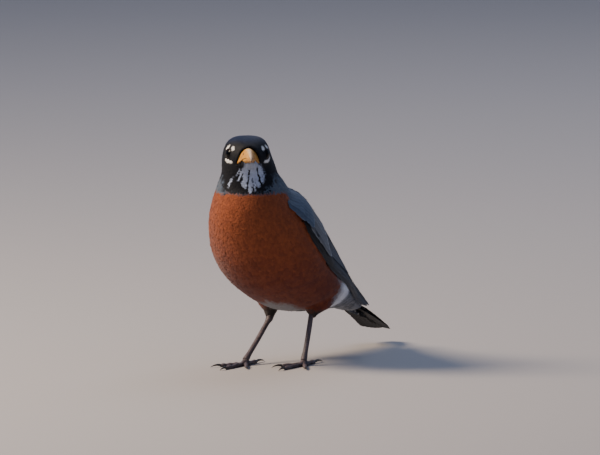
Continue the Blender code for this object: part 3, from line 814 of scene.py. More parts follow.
def build_skin():
    inner = FORM.points - FORM.normals * coat_depth(FORM.points)[:, None]
    inner = smoothed(inner, FORM.triangles, SKIN_ROUNDS)
    on_tail = ramp(*ON_TAIL, inner[:, 1])[:, None]
    share = (inner[:, 1] - TAIL_ROOT[1]) / (TAIL_TIP[1] - TAIL_ROOT[1])
    middle = TAIL_ROOT + np.outer(share, TAIL_TIP - TAIL_ROOT)
    middle[:, 0] = inner[:, 0] * CORE_WIDE
    inner += on_tail * (middle - inner) * (CORE_FLAT, 0, CORE_FLAT)
    points, triangles = joined([(inner, FORM.triangles), LEGS])
    colour = opaque(plumage(points, np.full(len(points), 0.5)))
    skin = array_object("robin_skin", points, triangles, skin_finish(), values={"plumage": colour})
    skin.data.materials.append(leg_finish())
    finish_index = np.zeros(len(triangles), np.int32)
    finish_index[len(FORM.triangles):] = 1
    skin.data.polygons.foreach_set("material_index", finish_index)
    return skin


SKIN = build_skin()
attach(SKIN, "root")
HIDDEN = ["head", "neck", "trunk", "rump"]
for side in SIDES:
    HIDDEN += [f"thigh_{side}", f"tarsus_{side}"] + [f"toe_{side}_{name}" for name in TOES]
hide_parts(*HIDDEN)
print("skin:", len(SKIN.data.polygons), "triangles")


# %% [markdown]
# ## Contour feathers
# The small feathers that make a bird's outline are alike: a short quill, a soft vane, and a tip whose barbs
# part a little. Each is made here as one pattern of a few barb groups on both sides of the quill, bent to the
# body. They could be particle hair, but hair isn't a surface, so each barb group is a thin blade of
# triangles.

# %% The pattern of one contour feather
def vane_width(s):
    """Half width of the vane along the feather, as a share of its widest."""
    return np.sqrt(np.clip(1 - ((s - 0.52) / 0.50) ** 2, 0.0, 1)) * 0.92 + 0.08


BED = (0.0, 0.3, 0.62)  # a strip under the blades reaches this far, so that no skin shows through
BED_WIDE = 0.6
FIRST_BLADE, LAST_BLADE, SWEEP = 0.24, 0.86, 0.27  # where blades leave the quill, and how far they run on
BLADE_WIDE = 1.45  # a blade's root over the gap to the next
BLADE_END = 0.985
FINE_GROUPS, FULL_GROUPS = 3, 7  # barb groups on each side of a head feather and of a body feather


def feather_pattern(groups):
    """A feather's points as columns (s along, x across, tip share, group number) and its triangles."""
    points, triangles = [], []

    def blade(corners, tip_shares, group):
        base = len(points)
        points.extend([(s, x, tip, group) for (s, x), tip in zip(corners, tip_shares)])
        a, b, c, d, e, f = range(base, base + 6)
        triangles.extend([(a, b, d), (a, d, c), (c, d, f), (c, f, e)])

    bed = [(s, sign * float(vane_width(s)) * BED_WIDE) for s in BED for sign in (-1, 1)]
    blade(bed, (0, 0, 0, 0, 0, 0), 0)
    step = (LAST_BLADE - FIRST_BLADE) / groups
    spread = step * BLADE_WIDE
    for number in range(2 * groups):
        start = FIRST_BLADE + step * (number % groups)
        reach = min(start + SWEEP, BLADE_END)
        edge = float(vane_width(reach)) * (-1 if number < groups else 1)
        bend = start + (reach - start) * 0.62
        corners = [(start, 0), (start + spread, 0), (bend, edge * 0.7), (bend + spread, edge * 0.62)]
        corners += [(reach, edge), (reach + spread * 0.32, edge * 0.93)]
        blade(corners, (0, 0, 0.35, 0.35, 1, 1), number + 1)
    end = [(0.72, -0.16), (0.72, 0.16), (0.9, -0.2), (0.9, 0.2), (1.0, -0.07), (1.0, 0.07)]
    blade(end, (0, 0, 0.3, 0.3, 1, 1), 2 * groups + 1)
    points, triangles = np.array(points), np.array(triangles)
    a, b, c = (points[triangles[:, i], :2] for i in range(3))
    turned = np.cross(b - a, c - a) < 0
    triangles[turned] = triangles[turned][:, ::-1]
    return points, triangles, 2 * groups + 2


# %% [markdown]
# Roots are scattered over the form with an even spacing that shrinks towards the bill. From each root a quill
# is walked along the surface in the feather's direction, a few short steps at a time, rising from the skin to
# the coat's outer surface, so a feather that is nearer the bill always lies over the next.

# %% Scatter and lay feathers
STEPS = 5
TRIES, CLEAR = 5, 0.92  # places tried for each one kept, and the share of the gap that stays clear


def spacing_at(points):
    """Distance between neighbouring feathers, in millimetres."""
    from_bill = np.linalg.norm(points - BILL_BASE, axis=1)
    eye_away, _, _ = round_the_eye(points)
    gap = 0.58 + 0.34 * ramp(5, 16, from_bill) + 0.63 * ramp(22, 52, from_bill)
    gap = np.minimum(gap, 0.46 + 0.45 * ramp(6.0, 9, eye_away) + 3 * ramp(9, 14, eye_away))
    ahead, aside, up = in_head(points).T
    chin = ramp(-3, 1, ahead) * (1 - ramp(9, 12, np.abs(aside - 1.0)))
    chin = chin * (1 - ramp(20, 24, -up)) * ramp(2, 5, -up)
    gap = gap * (1 - chin) + np.minimum(gap, 0.62) * chin
    leg_away, _ = from_legs(points)
    gap -= 0.5 * (1 - ramp(29, 34, points[:, 2])) * (1 - ramp(8, 12, leg_away)) * (gap > 1.2)
    return gap


def scatter(surface, gap_of, allowed, seed):
    """Evenly spaced places on a surface, and their normals."""
    rng = np.random.default_rng(seed)
    a, b, c = (surface.points[surface.triangles[:, i]] for i in range(3))
    middle = (a + b + c) / 3
    area = np.linalg.norm(np.cross(b - a, c - a), axis=1) / 2
    weight = area / gap_of(middle) ** 2 * allowed(middle)
    count = int(weight.sum() * TRIES)
    chosen = rng.choice(len(area), count, p=weight / weight.sum())
    u, v = rng.random(count), rng.random(count)
    over = u + v > 1
    u[over], v[over] = 1 - u[over], 1 - v[over]
    places = a[chosen] + (b - a)[chosen] * u[:, None] + (c - a)[chosen] * v[:, None]
    gaps = gap_of(places)
    tree = KDTree(count)
    for i, place in enumerate(places):
        tree.insert(place, i)
    tree.balance()
    alive, kept = np.ones(count, bool), []
    for i in range(count):
        if alive[i]:
            kept.append(i)
            for _, j, _ in tree.find_range(places[i], gaps[i] * CLEAR):
                alive[j] = False
    return places[kept]


def walk(surface, roots, lengths, depths, lifts, way_of=feather_way):
    """Quill lines: (places, normals), each count by STEPS + 1 by 3."""
    places, normals = [], []
    here, normal = surface.nearest(roots)
    for k in range(STEPS + 1):
        s = k / STEPS
        places.append(here + normal * (-depths * (1 - s) ** 1.15 + lifts * s)[:, None])
        normals.append(normal)
        if k < STEPS:
            step = way_of(here, normal) * (lengths / STEPS)[:, None]
            here, normal = surface.nearest(here + step)
    return np.stack(places, 1), np.stack(normals, 1)


SOFT_TILT = 0.22  # how much a feather's own curve shows in the light that it takes
RUFFLE, CAMBER = 0.06, 0.10  # how far barb tips stray, and how much a vane bends down at its sides


def lay_feathers(pattern, lines, normals, widths, rng):
    """All feathers of one kind as (points, triangles, vane rows in millimetres, shading normals)."""
    shape, triangles, groups = pattern
    count = len(lines)
    s, x, tip, group = shape.T
    group = group.astype(int)
    stray = rng.normal(0, 1, (3, count, groups))
    s_here = np.clip(s[None] + stray[0][:, group] * tip * RUFFLE * 0.55, 0, 1.06)
    x_here = x[None] + stray[1][:, group] * tip * RUFFLE * 1.2
    rise = stray[2][:, group] * tip * RUFFLE
    place = np.clip(s_here * STEPS, 0, STEPS - 1e-6)
    k = place.astype(int)
    share = (s_here * STEPS - k)[..., None]
    row = np.arange(count)[:, None]
    line = lines[row, k] + (lines[row, k + 1] - lines[row, k]) * share
    normal = unit(normals[row, k] + (normals[row, k + 1] - normals[row, k]) * np.clip(share, 0, 1))
    way = unit(lines[row, k + 1] - lines[row, k])
    side = np.cross(normal, way)
    half = widths[:, None] / 2
    points = line + side * (x_here * half)[..., None]
    points += normal * ((rise - CAMBER * x_here**2) * half)[..., None]
    length = np.linalg.norm(np.diff(lines, axis=1), axis=2).sum(axis=1)
    vane = np.stack([s_here * length[:, None], x_here * half, s_here], axis=-1)
    every = triangles[None] + (np.arange(count) * len(shape))[:, None, None]
    soft = unit(normal + side * (x_here * SOFT_TILT)[..., None])
    return points.reshape(-1, 3), every.reshape(-1, 3), vane.reshape(-1, 3), soft.reshape(-1, 3)


# %% [markdown]
# Every tuft is given one small patch of a bake layer. The patch lies at the root's place on an unwrap
# of the body itself: round the spine one way and along it the other.

# %% Bake places and coat pieces
PATCH = 0.003


def unwrap(points):
    way, reach, place = along_body(points)
    offset = points - place
    angle = np.arctan2(offset[:, 0], dots(offset, backward_of(way)))
    return np.stack([0.5 + angle / (2 * np.pi) * 0.96, 0.02 + 0.96 * reach / SPINE_REACH[-1]], 1)


def patch_places(roots, shape):
    """A bake place for every point of every feather: its place in the pattern, shrunk round the root's."""
    local = np.stack([shape[:, 1] * 0.5, shape[:, 0] - 0.5], 1) * PATCH
    return (unwrap(roots)[:, None] + local[None]).reshape(-1, 2)


def add_coat(name, pattern, roots, lines, normals, widths, colours, material):
    """One coat piece. Each feather has a root, a quill line, a width and a colour."""
    rng = np.random.default_rng(5)
    points, triangles, vane, soft = lay_feathers(pattern, lines, normals, widths, rng)
    colour = opaque(np.repeat(colours, len(pattern[0]), axis=0))
    piece = array_object(name, points, triangles, material, values={"plumage": colour, "vane": vane},
                         bake=patch_places(roots, pattern[0]))
    piece.data.normals_split_custom_set_from_vertices(soft.tolist())
    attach(piece, "root")
    print(f"{name}: {len(roots)} feathers, {len(triangles)} triangles")


# %% [markdown]
# Keratin barbs scatter light much as fine cloth does: a soft, broad shine at grazing angles and no mirror
# image. So the finish is rough with some sheen, and fine ridges of bump run along the barbs. Real barbs are
# about a tenth of a millimetre apart; they are drawn at 0.3 mm so that they can show.

# %% Finish of soft feathers
BARB_GAP = 0.3


def feather_finish(name, rough, sheen, barb_shade, root_shade, specular):
    """barb_shade: how much each barb is shaded. root_shade: how dark the feather is at its root."""
    material, shader = new_material(
        name, Roughness=rough, Sheen_Weight=sheen, Sheen_Roughness=0.45, Sheen_Tint=(0.9, 0.93, 1.0, 1),
        IOR=1.45, Specular_IOR_Level=specular,
    )
    tint = add(material, "ShaderNodeAttribute", attribute_name="plumage")
    vane = add(material, "ShaderNodeAttribute", attribute_name="vane")
    along, across, share = add(material, "ShaderNodeSeparateXYZ", {0: vane.outputs["Vector"]}).outputs
    away = add(material, "ShaderNodeMath", {0: across}, operation="ABSOLUTE").outputs[0]
    slant = add(material, "ShaderNodeMath", {0: away, 1: -0.9, 2: along}, operation="MULTIPLY_ADD").outputs[0]
    phase = add(material, "ShaderNodeMath", {0: slant, 1: 2 * math.pi / BARB_GAP}, operation="MULTIPLY")
    ridge = add(material, "ShaderNodeMath", {0: phase.outputs[0]}, operation="SINE").outputs[0]
    place = add(material, "ShaderNodeTexCoord").outputs["Object"]
    cloud = add(material, "ShaderNodeTexNoise", {"Vector": place, "Scale": 420.0, "Detail": 3.0})
    patches = {"Value": cloud.outputs["Fac"], "From Min": 0.3, "From Max": 0.7, "To Min": 0.9, "To Max": 1.08}
    light = add(material, "ShaderNodeMapRange", patches).outputs[0]
    barbs = add(material, "ShaderNodeMath", {0: ridge, 1: barb_shade, 2: light}, operation="MULTIPLY_ADD")
    # Darker towards the root: partly a feather's real grey down, and partly painted shade from the feather
    # over it.
    fade = {"Value": share, "From Min": 0.25, "From Max": 0.8, "To Min": root_shade, "To Max": 1.0}
    root = add(material, "ShaderNodeMapRange", fade)
    shade = add(material, "ShaderNodeMath", {0: barbs.outputs[0], 1: root.outputs[0]}, operation="MULTIPLY")
    dimming = {0: tint.outputs["Color"], "Scale": shade.outputs[0]}
    feed(material, add(material, "ShaderNodeVectorMath", dimming, operation="SCALE").outputs[0], shader)
    ridges = {"Height": ridge, "Distance": 0.00002, "Strength": 0.5}
    feed(material, add(material, "ShaderNodeBump", ridges).outputs["Normal"], shader, "Normal")
    return material


SOFT_FEATHER = feather_finish("soft_body_feathers", 0.8, 0.12, 0.06, 0.72, 0.3)
HOOD_FEATHER = feather_finish("sleek_hood_feathers", 0.62, 0.03, 0.10, 0.7, 0.2)


# %% Lay the coat
def tree_of(names):
    points, triangles = joined([mesh_arrays(NODES[name].data) for name in names])
    return BVHTree.FromPolygons(points.tolist(), triangles.tolist())


WING_TREE = tree_of(wing_nodes(*SIDES))
BILL_TREE = tree_of(["bill_upper", "bill_lower"])
LID_EDGE = 3.55  # no feather is rooted nearer than this to the eye's front
BILL_NEAR, BILL_CLEAR = 13, 0.3  # how far from the bill's root to look, and the gap to leave


def clear_of_eyes_and_bill(points):
    eye_away, _, _ = round_the_eye(points)
    free = eye_away > LID_EDGE
    for i in np.flatnonzero(np.linalg.norm(points - BILL_BASE, axis=1) < BILL_NEAR):
        place, normal, _, distance = BILL_TREE.find_nearest(Vector(points[i]))
        inside = (Vector(points[i]) - place).dot(normal) < 0
        free[i] &= distance > BILL_CLEAR and not inside
    return free


def under_a_wing(points, normals):
    """How much of a feather from each point would lie under a folded wing: 0, 1/3, 2/3 or 1."""
    ways = feather_way(points, normals)
    hidden = np.zeros(len(points))
    for reach in (0.0, 3.0, 6.0):
        for i, (place, normal) in enumerate(zip(points + ways * reach, normals)):
            hidden[i] += WING_TREE.ray_cast(Vector(place - normal * 2), Vector(normal), 9)[0] is not None
    return hidden / 3


RIM, REAR_RIM = 1.3, 2.6  # nearer than this to a wing's upper rim a feather would stand on it
REAR_FROM = -8  # the second one counts behind this


def on_a_rim(points):
    near = np.zeros(len(points), bool)
    for i in np.flatnonzero(back_share(points) > 0.05):
        rim = RIM if points[i, 1] < REAR_FROM else REAR_RIM
        near[i] = WING_TREE.find_nearest(Vector(points[i]))[3] < rim
    return near


COAT_END, COVERTS_END = 50.0, 60.0  # behind these the tail's own feathers are bare, above and below


def on_body(points):
    end = np.where(back_share(points) < -0.3, COVERTS_END, COAT_END)
    return (clear_of_eyes_and_bill(points) & (points[:, 1] < end)).astype(float)


TUCK = 1.5  # feathers at a wing's edge lie this much lower, so that the wing covers their tips
HEAD_REACH = 48  # feathers this near the bill's root, and above the breast, are the head's fine ones
REAR_COAT = -20  # behind this the coat of the underside is a piece of its own


def lay_coat():
    roots = scatter(FORM, spacing_at, on_body, 3)
    tucked = under_a_wing(roots, FORM.nearest(roots)[1])
    free = (tucked < 1) & ~on_a_rim(roots)
    roots, tucked = roots[free], tucked[free]
    rng = np.random.default_rng(4)
    chance = rng.random(len(roots))
    gaps = spacing_at(roots)
    tail_coverts = ramp(38, 50, roots[:, 1])
    lengths = gaps * (4.2 + 0.7 * chance) * (1 + 0.9 * tail_coverts)
    depths = np.minimum(coat_depth(roots) * 0.9, lengths * 0.11)
    lifts = gaps * rng.uniform(0.0, 0.04, len(roots))
    lines, normals = walk(FORM, roots, lengths, depths, lifts)
    lines -= normals * (tucked * TUCK)[:, None, None]
    colours = plumage(lines[:, 4], chance) * rng.uniform(0.94, 1.06, len(roots))[:, None]
    widths = gaps * (2.3 + 0.4 * rng.random(len(roots)))
    head = (np.linalg.norm(roots - BILL_BASE, axis=1) < HEAD_REACH) & (roots[:, 2] > HOOD_EDGE + 1)
    under = ~head & (back_share(roots) <= 0.0)
    breast, left = under & (roots[:, 1] < REAR_COAT), roots[:, 0] > 0
    areas = {
        "coat_head": (head, FINE_GROUPS, HOOD_FEATHER),
        "coat_back": (~head & ~under, FULL_GROUPS, SOFT_FEATHER),
        "coat_breast_left": (breast & left, FULL_GROUPS, SOFT_FEATHER),
        "coat_breast_right": (breast & ~left, FULL_GROUPS, SOFT_FEATHER),
        "coat_rear": (under & ~breast, FULL_GROUPS, SOFT_FEATHER),
    }
    for name, (chosen, groups, material) in areas.items():
        add_coat(name, feather_pattern(groups), roots[chosen], lines[chosen], normals[chosen],
                 widths[chosen], colours[chosen], material)


lay_coat()


# %% [markdown]
# The chin's feathers don't stop at the bill's root: they run forward under the lower half, between its two
# branches, so that from in front the bill ends in white below. They are laid on that half and on the head as
# one surface, pointing back and down.

# %% Feathers under the bill
CHIN_GAP = 0.5


def backward_way(points, normals):
    return flattened(-AHEAD * 0.9 - UP * 0.45 + np.outer(in_head(points)[:, 1] * 0.06, ASIDE), normals)


def lay_chin():
    horn = mesh_arrays(NODES["bill_lower"].data)
    both = Surface(*joined([horn, (FORM.points, FORM.triangles)]))
    under = Surface(*horn)

    def on_keel(points):
        ahead, aside, up = in_head(points).T
        return ((ahead < 19.5 - 0.9 * np.abs(aside)) & (ahead > 7) & (up < -3.2)).astype(float)

    roots = scatter(under, lambda points: np.full(len(points), CHIN_GAP), on_keel, 8)
    rng = np.random.default_rng(9)
    chance = rng.random(len(roots))
    lengths = 3.4 + 1.2 * chance
    lines, normals = walk(both, roots, lengths, np.full(len(roots), -0.1), 0.1 + 0.2 * chance, backward_way)
    droop = np.linspace(0, 1, STEPS + 1)[None, :, None] ** 2 * (0.8 + 1.2 * chance)[:, None, None]
    lines = lines + droop * (AHEAD * 0.35 - UP)
    colours = plumage(lines[:, 2], chance) * rng.uniform(0.94, 1.06, len(roots))[:, None]
    widths = 1.1 + 0.3 * chance
    add_coat("coat_chin", feather_pattern(FINE_GROUPS), roots, lines, normals, widths, colours, HOOD_FEATHER)


lay_chin()


# %% [markdown]
# ## Wings and tail
# The big feathers are stiff: a horny shaft and a flat vane of hooked barbs, each overlapping the next. In a
# folded wing the innermost lie on top, so what shows of each is its outer edge and its tip. They are laid on
# the wing's own surface, which is read from the solids: a sheet with u from shoulder to tip and v from the
# lower edge to the back, lifted to where the solids' outside is.

# %% The surface of a folded wing
# Each row: lower edge (x, y, z), upper edge (x, y, z), outward bulge, for the left wing.
WING_SHEET = np.array([
    (24.0, -52.4, 90.0, 15.0, -38.4, 102.0, 1.6), (28.8, -47.4, 80.5, 15.0, -27.4, 96.8, 2.6),
    (31.4, -38.4, 69.0, 14.5, -16.9, 88.4, 3.4), (31.2, -23.4, 57.0, 12.5, -2.9, 77.0, 4.0),
    (28.0, -5.4, 47.2, 9.0, 11.6, 66.0, 4.0), (22.0, 15.55, 37.4, 6.0, 25.6, 55.6, 3.6),
    (15.4, 38.55, 29.2, 4.4, 40.6, 45.0, 2.6), (6.8, 66.55, 22.8, 4.2, 67.35, 26.4, 0.2),
])
WING_SHEET = np.vstack([2 * WING_SHEET[0] - WING_SHEET[1], WING_SHEET])  # a row in front of the shoulder
FIELD_U, FIELD_V = np.linspace(-0.1, 1.0, 64), np.linspace(-0.2, 1.4, 40)
LOOK_FROM, LOOK_DEPTH = 14, 22  # rays start this far outside the sheet and go this deep
NO_WING = -0.4  # the height where a ray meets nothing


def smooth_rows(rows, t):
    """A smooth reading of a table's rows at each t, which counts rows from 0."""
    last = len(rows) - 1
    i = np.clip(t.astype(int), 0, last - 1)
    f = (t - i)[..., None]
    p0, p1, p2, p3 = (rows[np.clip(i + k, 0, last)] for k in (-1, 0, 1, 2))
    square, cube = 2 * p0 - 5 * p1 + 4 * p2 - p3, 3 * p1 - p0 - 3 * p2 + p3
    return p1 + 0.5 * ((p2 - p0) * f + square * f**2 + cube * f**3)


def evened(grid, rounds):
    """A grid of heights, each drawn a little towards the four round it."""
    for _ in range(rounds):
        padded = np.pad(grid, 1, mode="edge")
        around = padded[:-2, 1:-1] + padded[2:, 1:-1] + padded[1:-1, :-2] + padded[1:-1, 2:]
        grid = grid * 0.4 + around * 0.15
    return grid


def sheet_point(u, v):
    """(place, outward way) on the left wing's sheet."""
    u, v = np.broadcast_arrays(u, v)
    row = smooth_rows(WING_SHEET, u * (len(WING_SHEET) - 2.0) + 1)
    low, high, bulge = row[..., :3], row[..., 3:6], row[..., 6:]
    across = high - low
    out = unit(np.stack([across[..., 2], 0 * u, -across[..., 0]], -1))
    beyond = np.maximum(np.maximum(-v, v - 1), 0)
    crown = 4 * v * (1 - v) * (beyond == 0) - 4 * beyond / (1 + 3 * beyond)
    return low + across * v[..., None] + out * bulge * crown[..., None], out


def wing_heights(side, sign):
    """How far the solids' outside lies above the sheet, on a grid of u and v."""
    wing = [mesh_arrays(NODES[name].data) for name in wing_nodes(side)]
    points, triangles = joined([(FORM.points, FORM.triangles), *wing])
    tree = BVHTree.FromPolygons(points.tolist(), triangles.tolist())
    u, v = np.meshgrid(FIELD_U, FIELD_V, indexing="ij")
    place, out = sheet_point(u, v)
    place, out = place * (sign, 1, 1), out * (sign, 1, 1)
    height = np.full(u.shape, NO_WING)
    for i, j in np.ndindex(u.shape):
        hit = tree.ray_cast(Vector(place[i, j] + out[i, j] * LOOK_FROM), Vector(-out[i, j]), LOOK_DEPTH)
        if hit[0] is not None:
            height[i, j] = LOOK_FROM - hit[3]
    return evened(height, 5)


WING_SINK = 1.1  # the lowest feathers lie this far under the solids' outside, the topmost a little over it
EDGE_SINK = 0.2  # but at the wing's lower edge they stand over the flank


def wing_surface(side):
    """A function place(u, v, lift) for a wing."""
    sign = 1 if side == "left" else -1
    height = wing_heights(side, sign)

    def place(u, v, lift):
        at, out = sheet_point(u, v)
        x = np.clip(np.interp(u, FIELD_U, range(len(FIELD_U))), 0, len(FIELD_U) - 1.001)
        y = np.clip(np.interp(np.minimum(v, 1.0), FIELD_V, range(len(FIELD_V))), 0, len(FIELD_V) - 1.001)
        i, j = x.astype(int), y.astype(int)
        f, g = x - i, y - j
        near = height[i, j] * (1 - f) * (1 - g) + height[i + 1, j] * f * (1 - g)
        far = height[i, j + 1] * (1 - f) * g + height[i + 1, j + 1] * f * g
        settled = (0.25 + 0.75 * ramp(-0.08, 0.16, u)) * (1 - 0.85 * ramp(0.55, 1.0, v))
        sink = EDGE_SINK + (WING_SINK - EDGE_SINK) * ramp(-0.02, 0.25, v) + 0.5 * ramp(0.92, 1.1, v)
        return (at + out * (near + far - sink + lift * settled)[..., None]) * (sign, 1, 1)

    return place


WING_PLACES = {side: wing_surface(side) for side in SIDES}
print("wing surfaces read")


# %% [markdown]
# One function lays a vane on such a surface. It takes the shaft's path in the surface's own coordinates, and
# the widths of the two webs in millimetres, so a feather always follows the surface and keeps its real size.

# %% One stiff feather
ACROSS = np.array([-1.0, -0.86, -0.6, -0.3, -0.06, 0.06, 0.3, 0.6, 0.86, 1.0])
ALONG = 30
BEND, NOTCH = 0.002, 0.035  # how much shafts and vane edges stray
SHAFT_RISE = 0.12


def vane_outline(s, point):
    """Share of the full width along a stiff feather; a higher point gives a more tapered tip."""
    base = 0.30 + 0.70 * ramp(0.0, 0.30, s)
    from_here = 1 - 0.16 * point
    tip = np.clip((s - from_here) / (1 - from_here), 0, 1)
    taper = 1 - 0.35 * (point - 1) * ramp(0.4, from_here, s)
    return base * np.sqrt(np.clip(1 - tip**2, 0, 1)) * np.clip(taper, 0.3, 1)


def stiff_feather(place, start, end, webs, lift, point, rng, sag=0.09):
    """Points, triangles and vane rows of one feather. webs: outer and inner width in millimetres."""
    s = 1 - (1 - np.linspace(0, 1, ALONG)) ** 1.25
    bend = rng.normal(0, BEND)
    path = np.array(start) + (np.array(end) - np.array(start)) * s[:, None]
    u, v = path[:, 0], path[:, 1] + bend * np.sin(np.pi * s)
    step = 1e-3
    here = place(u, v, 0 * u)
    by_u, by_v = (place(u + step, v, 0 * u) - here) / step, (place(u, v + step, 0 * u) - here) / step
    along = unit(np.gradient(here, axis=0))
    normal = unit(np.cross(by_u, by_v))
    aside = unit(np.cross(normal, along))
    a, b, c = dots(by_u, by_u), dots(by_u, by_v), dots(by_v, by_v)
    p, q = dots(aside, by_u), dots(aside, by_v)
    per_u, per_v = (c * p - b * q) / (a * c - b * b), (a * q - b * p) / (a * c - b * b)
    outline = vane_outline(s, point)
    x = np.where(ACROSS < 0, ACROSS * webs[0], ACROSS * webs[1])[None] * outline[:, None]
    s, outline = s[:, None], outline[:, None]
    notch = rng.normal(0, NOTCH, x.shape) * (np.abs(ACROSS) > 0.8) * (s > 0.15)
    x = x * (1 + notch)
    rise = lift[0] + (lift[1] - lift[0]) * s - sag * ACROSS[None] ** 2 * outline
    rise = rise + SHAFT_RISE * (np.abs(ACROSS) < 0.1) * (1 - 0.8 * s)
    points = place(u[:, None] + per_u[:, None] * x, v[:, None] + per_v[:, None] * x, rise)
    length = np.linalg.norm(here[-1] - here[0])
    return points, np.stack(np.broadcast_arrays(s * length, x, s), -1)


def grid_triangles(rows, columns):
    i, j = np.meshgrid(range(rows - 1), range(columns - 1), indexing="ij")
    a = (i * columns + j).ravel()
    b = a + columns
    return np.concatenate([np.stack([a, a + 1, b + 1], 1), np.stack([a, b + 1, b], 1)])


def shaded_vane(tint, fringe, vane, webs, tip_fringe, rng):
    """Linear colours over a vane: a dark shaft, a body tint that varies a little, and a paler worn edge."""
    s, x = vane[..., 2], vane[..., 1]
    base, edge = np.array(linear(tint)), np.array(linear(fringe))
    share = ramp(0.8, 1.0, -x / webs[0]) * 0.9 + ramp(0.88, 1.0, x / webs[1]) * 0.5
    share = np.maximum(share, tip_fringe * ramp(0.93, 0.99, s))
    share = np.clip(share, 0, 1)[..., None]
    colour = base * (1 - share) + edge * share
    shaft = np.exp(-((x / 0.28) ** 2))[..., None]
    return colour * (1 - 0.45 * shaft) * rng.uniform(0.9, 1.1)


# %% [markdown]
# A wing has rows. From the bottom of the pile up: primaries, whose tips make the long point over the tail,
# secondaries, three broad tertials, then the coverts in rows of smaller and smaller feathers towards the
# shoulder, and last the soft scapulars of the back. Each row is given by its first and last feather. A
# primary's tip is given one by one, because it makes the wing's outline.

# %% Wing rows
WING_TIPS_U = (0.945, 0.985, 1.0, 0.985, 0.95, 0.905, 0.86, 0.82, 0.785)
WING_TIPS_V = (0.05, 0.2, 0.42, 0.5, 0.52, 0.56, 0.60, 0.63, 0.66)
# count, first start, last start, first end, last end (u, v), widths, lifts, tint, fringe, tip fringe, point
WING_ROWS = {
    "secondaries": (6, (0.30, 0.30), (0.30, 0.72), (0.70, 0.40), (0.735, 0.80), (7.5, 8.0), (1.25, 2.1),
                    "#2a2d33", "#6d7683", 0.3, 1.1),
    "tertials": (3, (0.24, 0.60), (0.21, 0.80), (0.675, 0.80), (0.54, 0.88), (9.0, 8.6), (2.2, 2.8),
                 "#43484f", "#8b9199", 0.6, 1.2),
    "primary_coverts": (6, (0.16, 0.02), (0.22, 0.14), (0.46, 0.03), (0.44, 0.15), (4.6, 5.0), (1.0, 1.5),
                        "#191a1e", "#3e434a", 0.3, 1.3),
    "alula": (3, (0.12, 0.02), (0.13, 0.10), (0.36, 0.05), (0.28, 0.12), (4.4, 4.2), (1.4, 1.9),
              "#17181b", "#3b4047", 0.3, 1.2),
    "greater_coverts": (11, (0.12, 0.12), (0.07, 0.90), (0.42, 0.14), (0.30, 0.92), (6.4, 7.2), (2.1, 3.1),
                        "#5a5b5e", "#a2a5a8", 0.9, 1.1),
    "median_coverts": (11, (0.05, 0.10), (0.02, 0.94), (0.215, 0.13), (0.165, 0.95), (5.6, 6.2), (2.4, 3.3),
                       "#475364", "#76808f", 0.8, 1.1),
    "lesser_coverts_3": (11, (0.0, 0.04), (0.0, 0.96), (0.135, 0.07), (0.115, 0.97), (5.2, 5.8), (2.5, 3.4),
                         "#485466", "#65707f", 0.6, 1.0),
    "lesser_coverts_2": (10, (-0.03, 0.05), (-0.03, 0.96), (0.085, 0.06), (0.08, 0.97), (5.0, 5.6),
                         (2.6, 3.5), "#485466", "#5d6877", 0.5, 1.0),
    "lesser_coverts_1": (9, (-0.06, 0.02), (-0.06, 0.96), (0.04, 0.05), (0.045, 0.97), (5.0, 5.4), (2.7, 3.6),
                         "#485466", "#596473", 0.4, 1.0),
}


OUTER_WEB, INNER_WEB = 0.46, 0.54  # shares of a covert's width
END_STRAY = 0.004
TIP_OVER_ROOT = 0.55  # how much higher a feather's tip lies than its root


def between(first, last, t):
    return np.array(first) * (1 - t) + np.array(last) * t


def row_feathers(place, row, rng):
    count, start_a, start_b, end_a, end_b, width, lift, tint, fringe, tip_fringe, point = row
    made = []
    for t in np.arange(count) / (count - 1):
        start = between(start_a, start_b, t)
        end = between(end_a, end_b, t) + rng.normal(0, END_STRAY, 2)
        wide, height = between(*width, t), between(*lift, t)
        webs = (wide * OUTER_WEB, wide * INNER_WEB)
        points, vane = stiff_feather(place, start, end, webs, (height - TIP_OVER_ROOT, height), point, rng)
        made.append((points, vane, shaded_vane(tint, fringe, vane, webs, tip_fringe, rng)))
    return made


def primaries(place, rng):
    made = []
    for k, (u, v) in enumerate(zip(WING_TIPS_U, WING_TIPS_V)):
        start = (0.30 + 0.012 * k, 0.04 + 0.042 * k)
        webs = (2.0 + 0.12 * k, 4.6)
        lift = (0.02 + 0.14 * k, 0.02 + 0.16 * k)
        points, vane = stiff_feather(place, start, (u, v), webs, lift, 1.6, rng)
        made.append((points, vane, shaded_vane("#17181c", "#4b5563", vane, webs, 0.25, rng)))
    return made


def join_vanes(name, made, material, replaced):
    """One object from stiff feathers, with a bake patch for each at its shaft's first place."""
    rows, columns = made[0][0].shape[:2]
    cell = grid_triangles(rows, columns)
    points = np.concatenate([p.reshape(-1, 3) for p, _, _ in made])
    triangles = np.concatenate([cell + k * rows * columns for k in range(len(made))])
    vane = np.concatenate([v.reshape(-1, 3) for _, v, _ in made])
    colour = opaque(np.concatenate([c.reshape(-1, 3) for _, _, c in made]))
    roots = np.stack([p[2, columns // 2] for p, _, _ in made])
    shape = np.stack([np.repeat(np.linspace(0, 1, rows), columns), np.tile(ACROSS, rows)], 1)
    piece = array_object(name, points, triangles, material, values={"plumage": colour, "vane": vane},
                         bake=patch_places(roots, shape))
    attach(piece, "root")
    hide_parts(*replaced)
    print(f"{name}: {len(made)} feathers, {len(triangles)} triangles")


STIFF_FEATHER = feather_finish("stiff_flight_feathers", 0.6, 0.05, 0.07, 0.85, 0.3)


def build_wing(side):
    rng = np.random.default_rng(21 if side == "left" else 22)
    place = WING_PLACES[side]
    made = primaries(place, rng)
    for row in WING_ROWS.values():
        made += row_feathers(place, row, rng)
    join_vanes(f"wing_feathers_{side}", made, STIFF_FEATHER, wing_nodes(side))


for side in SIDES:
    build_wing(side)


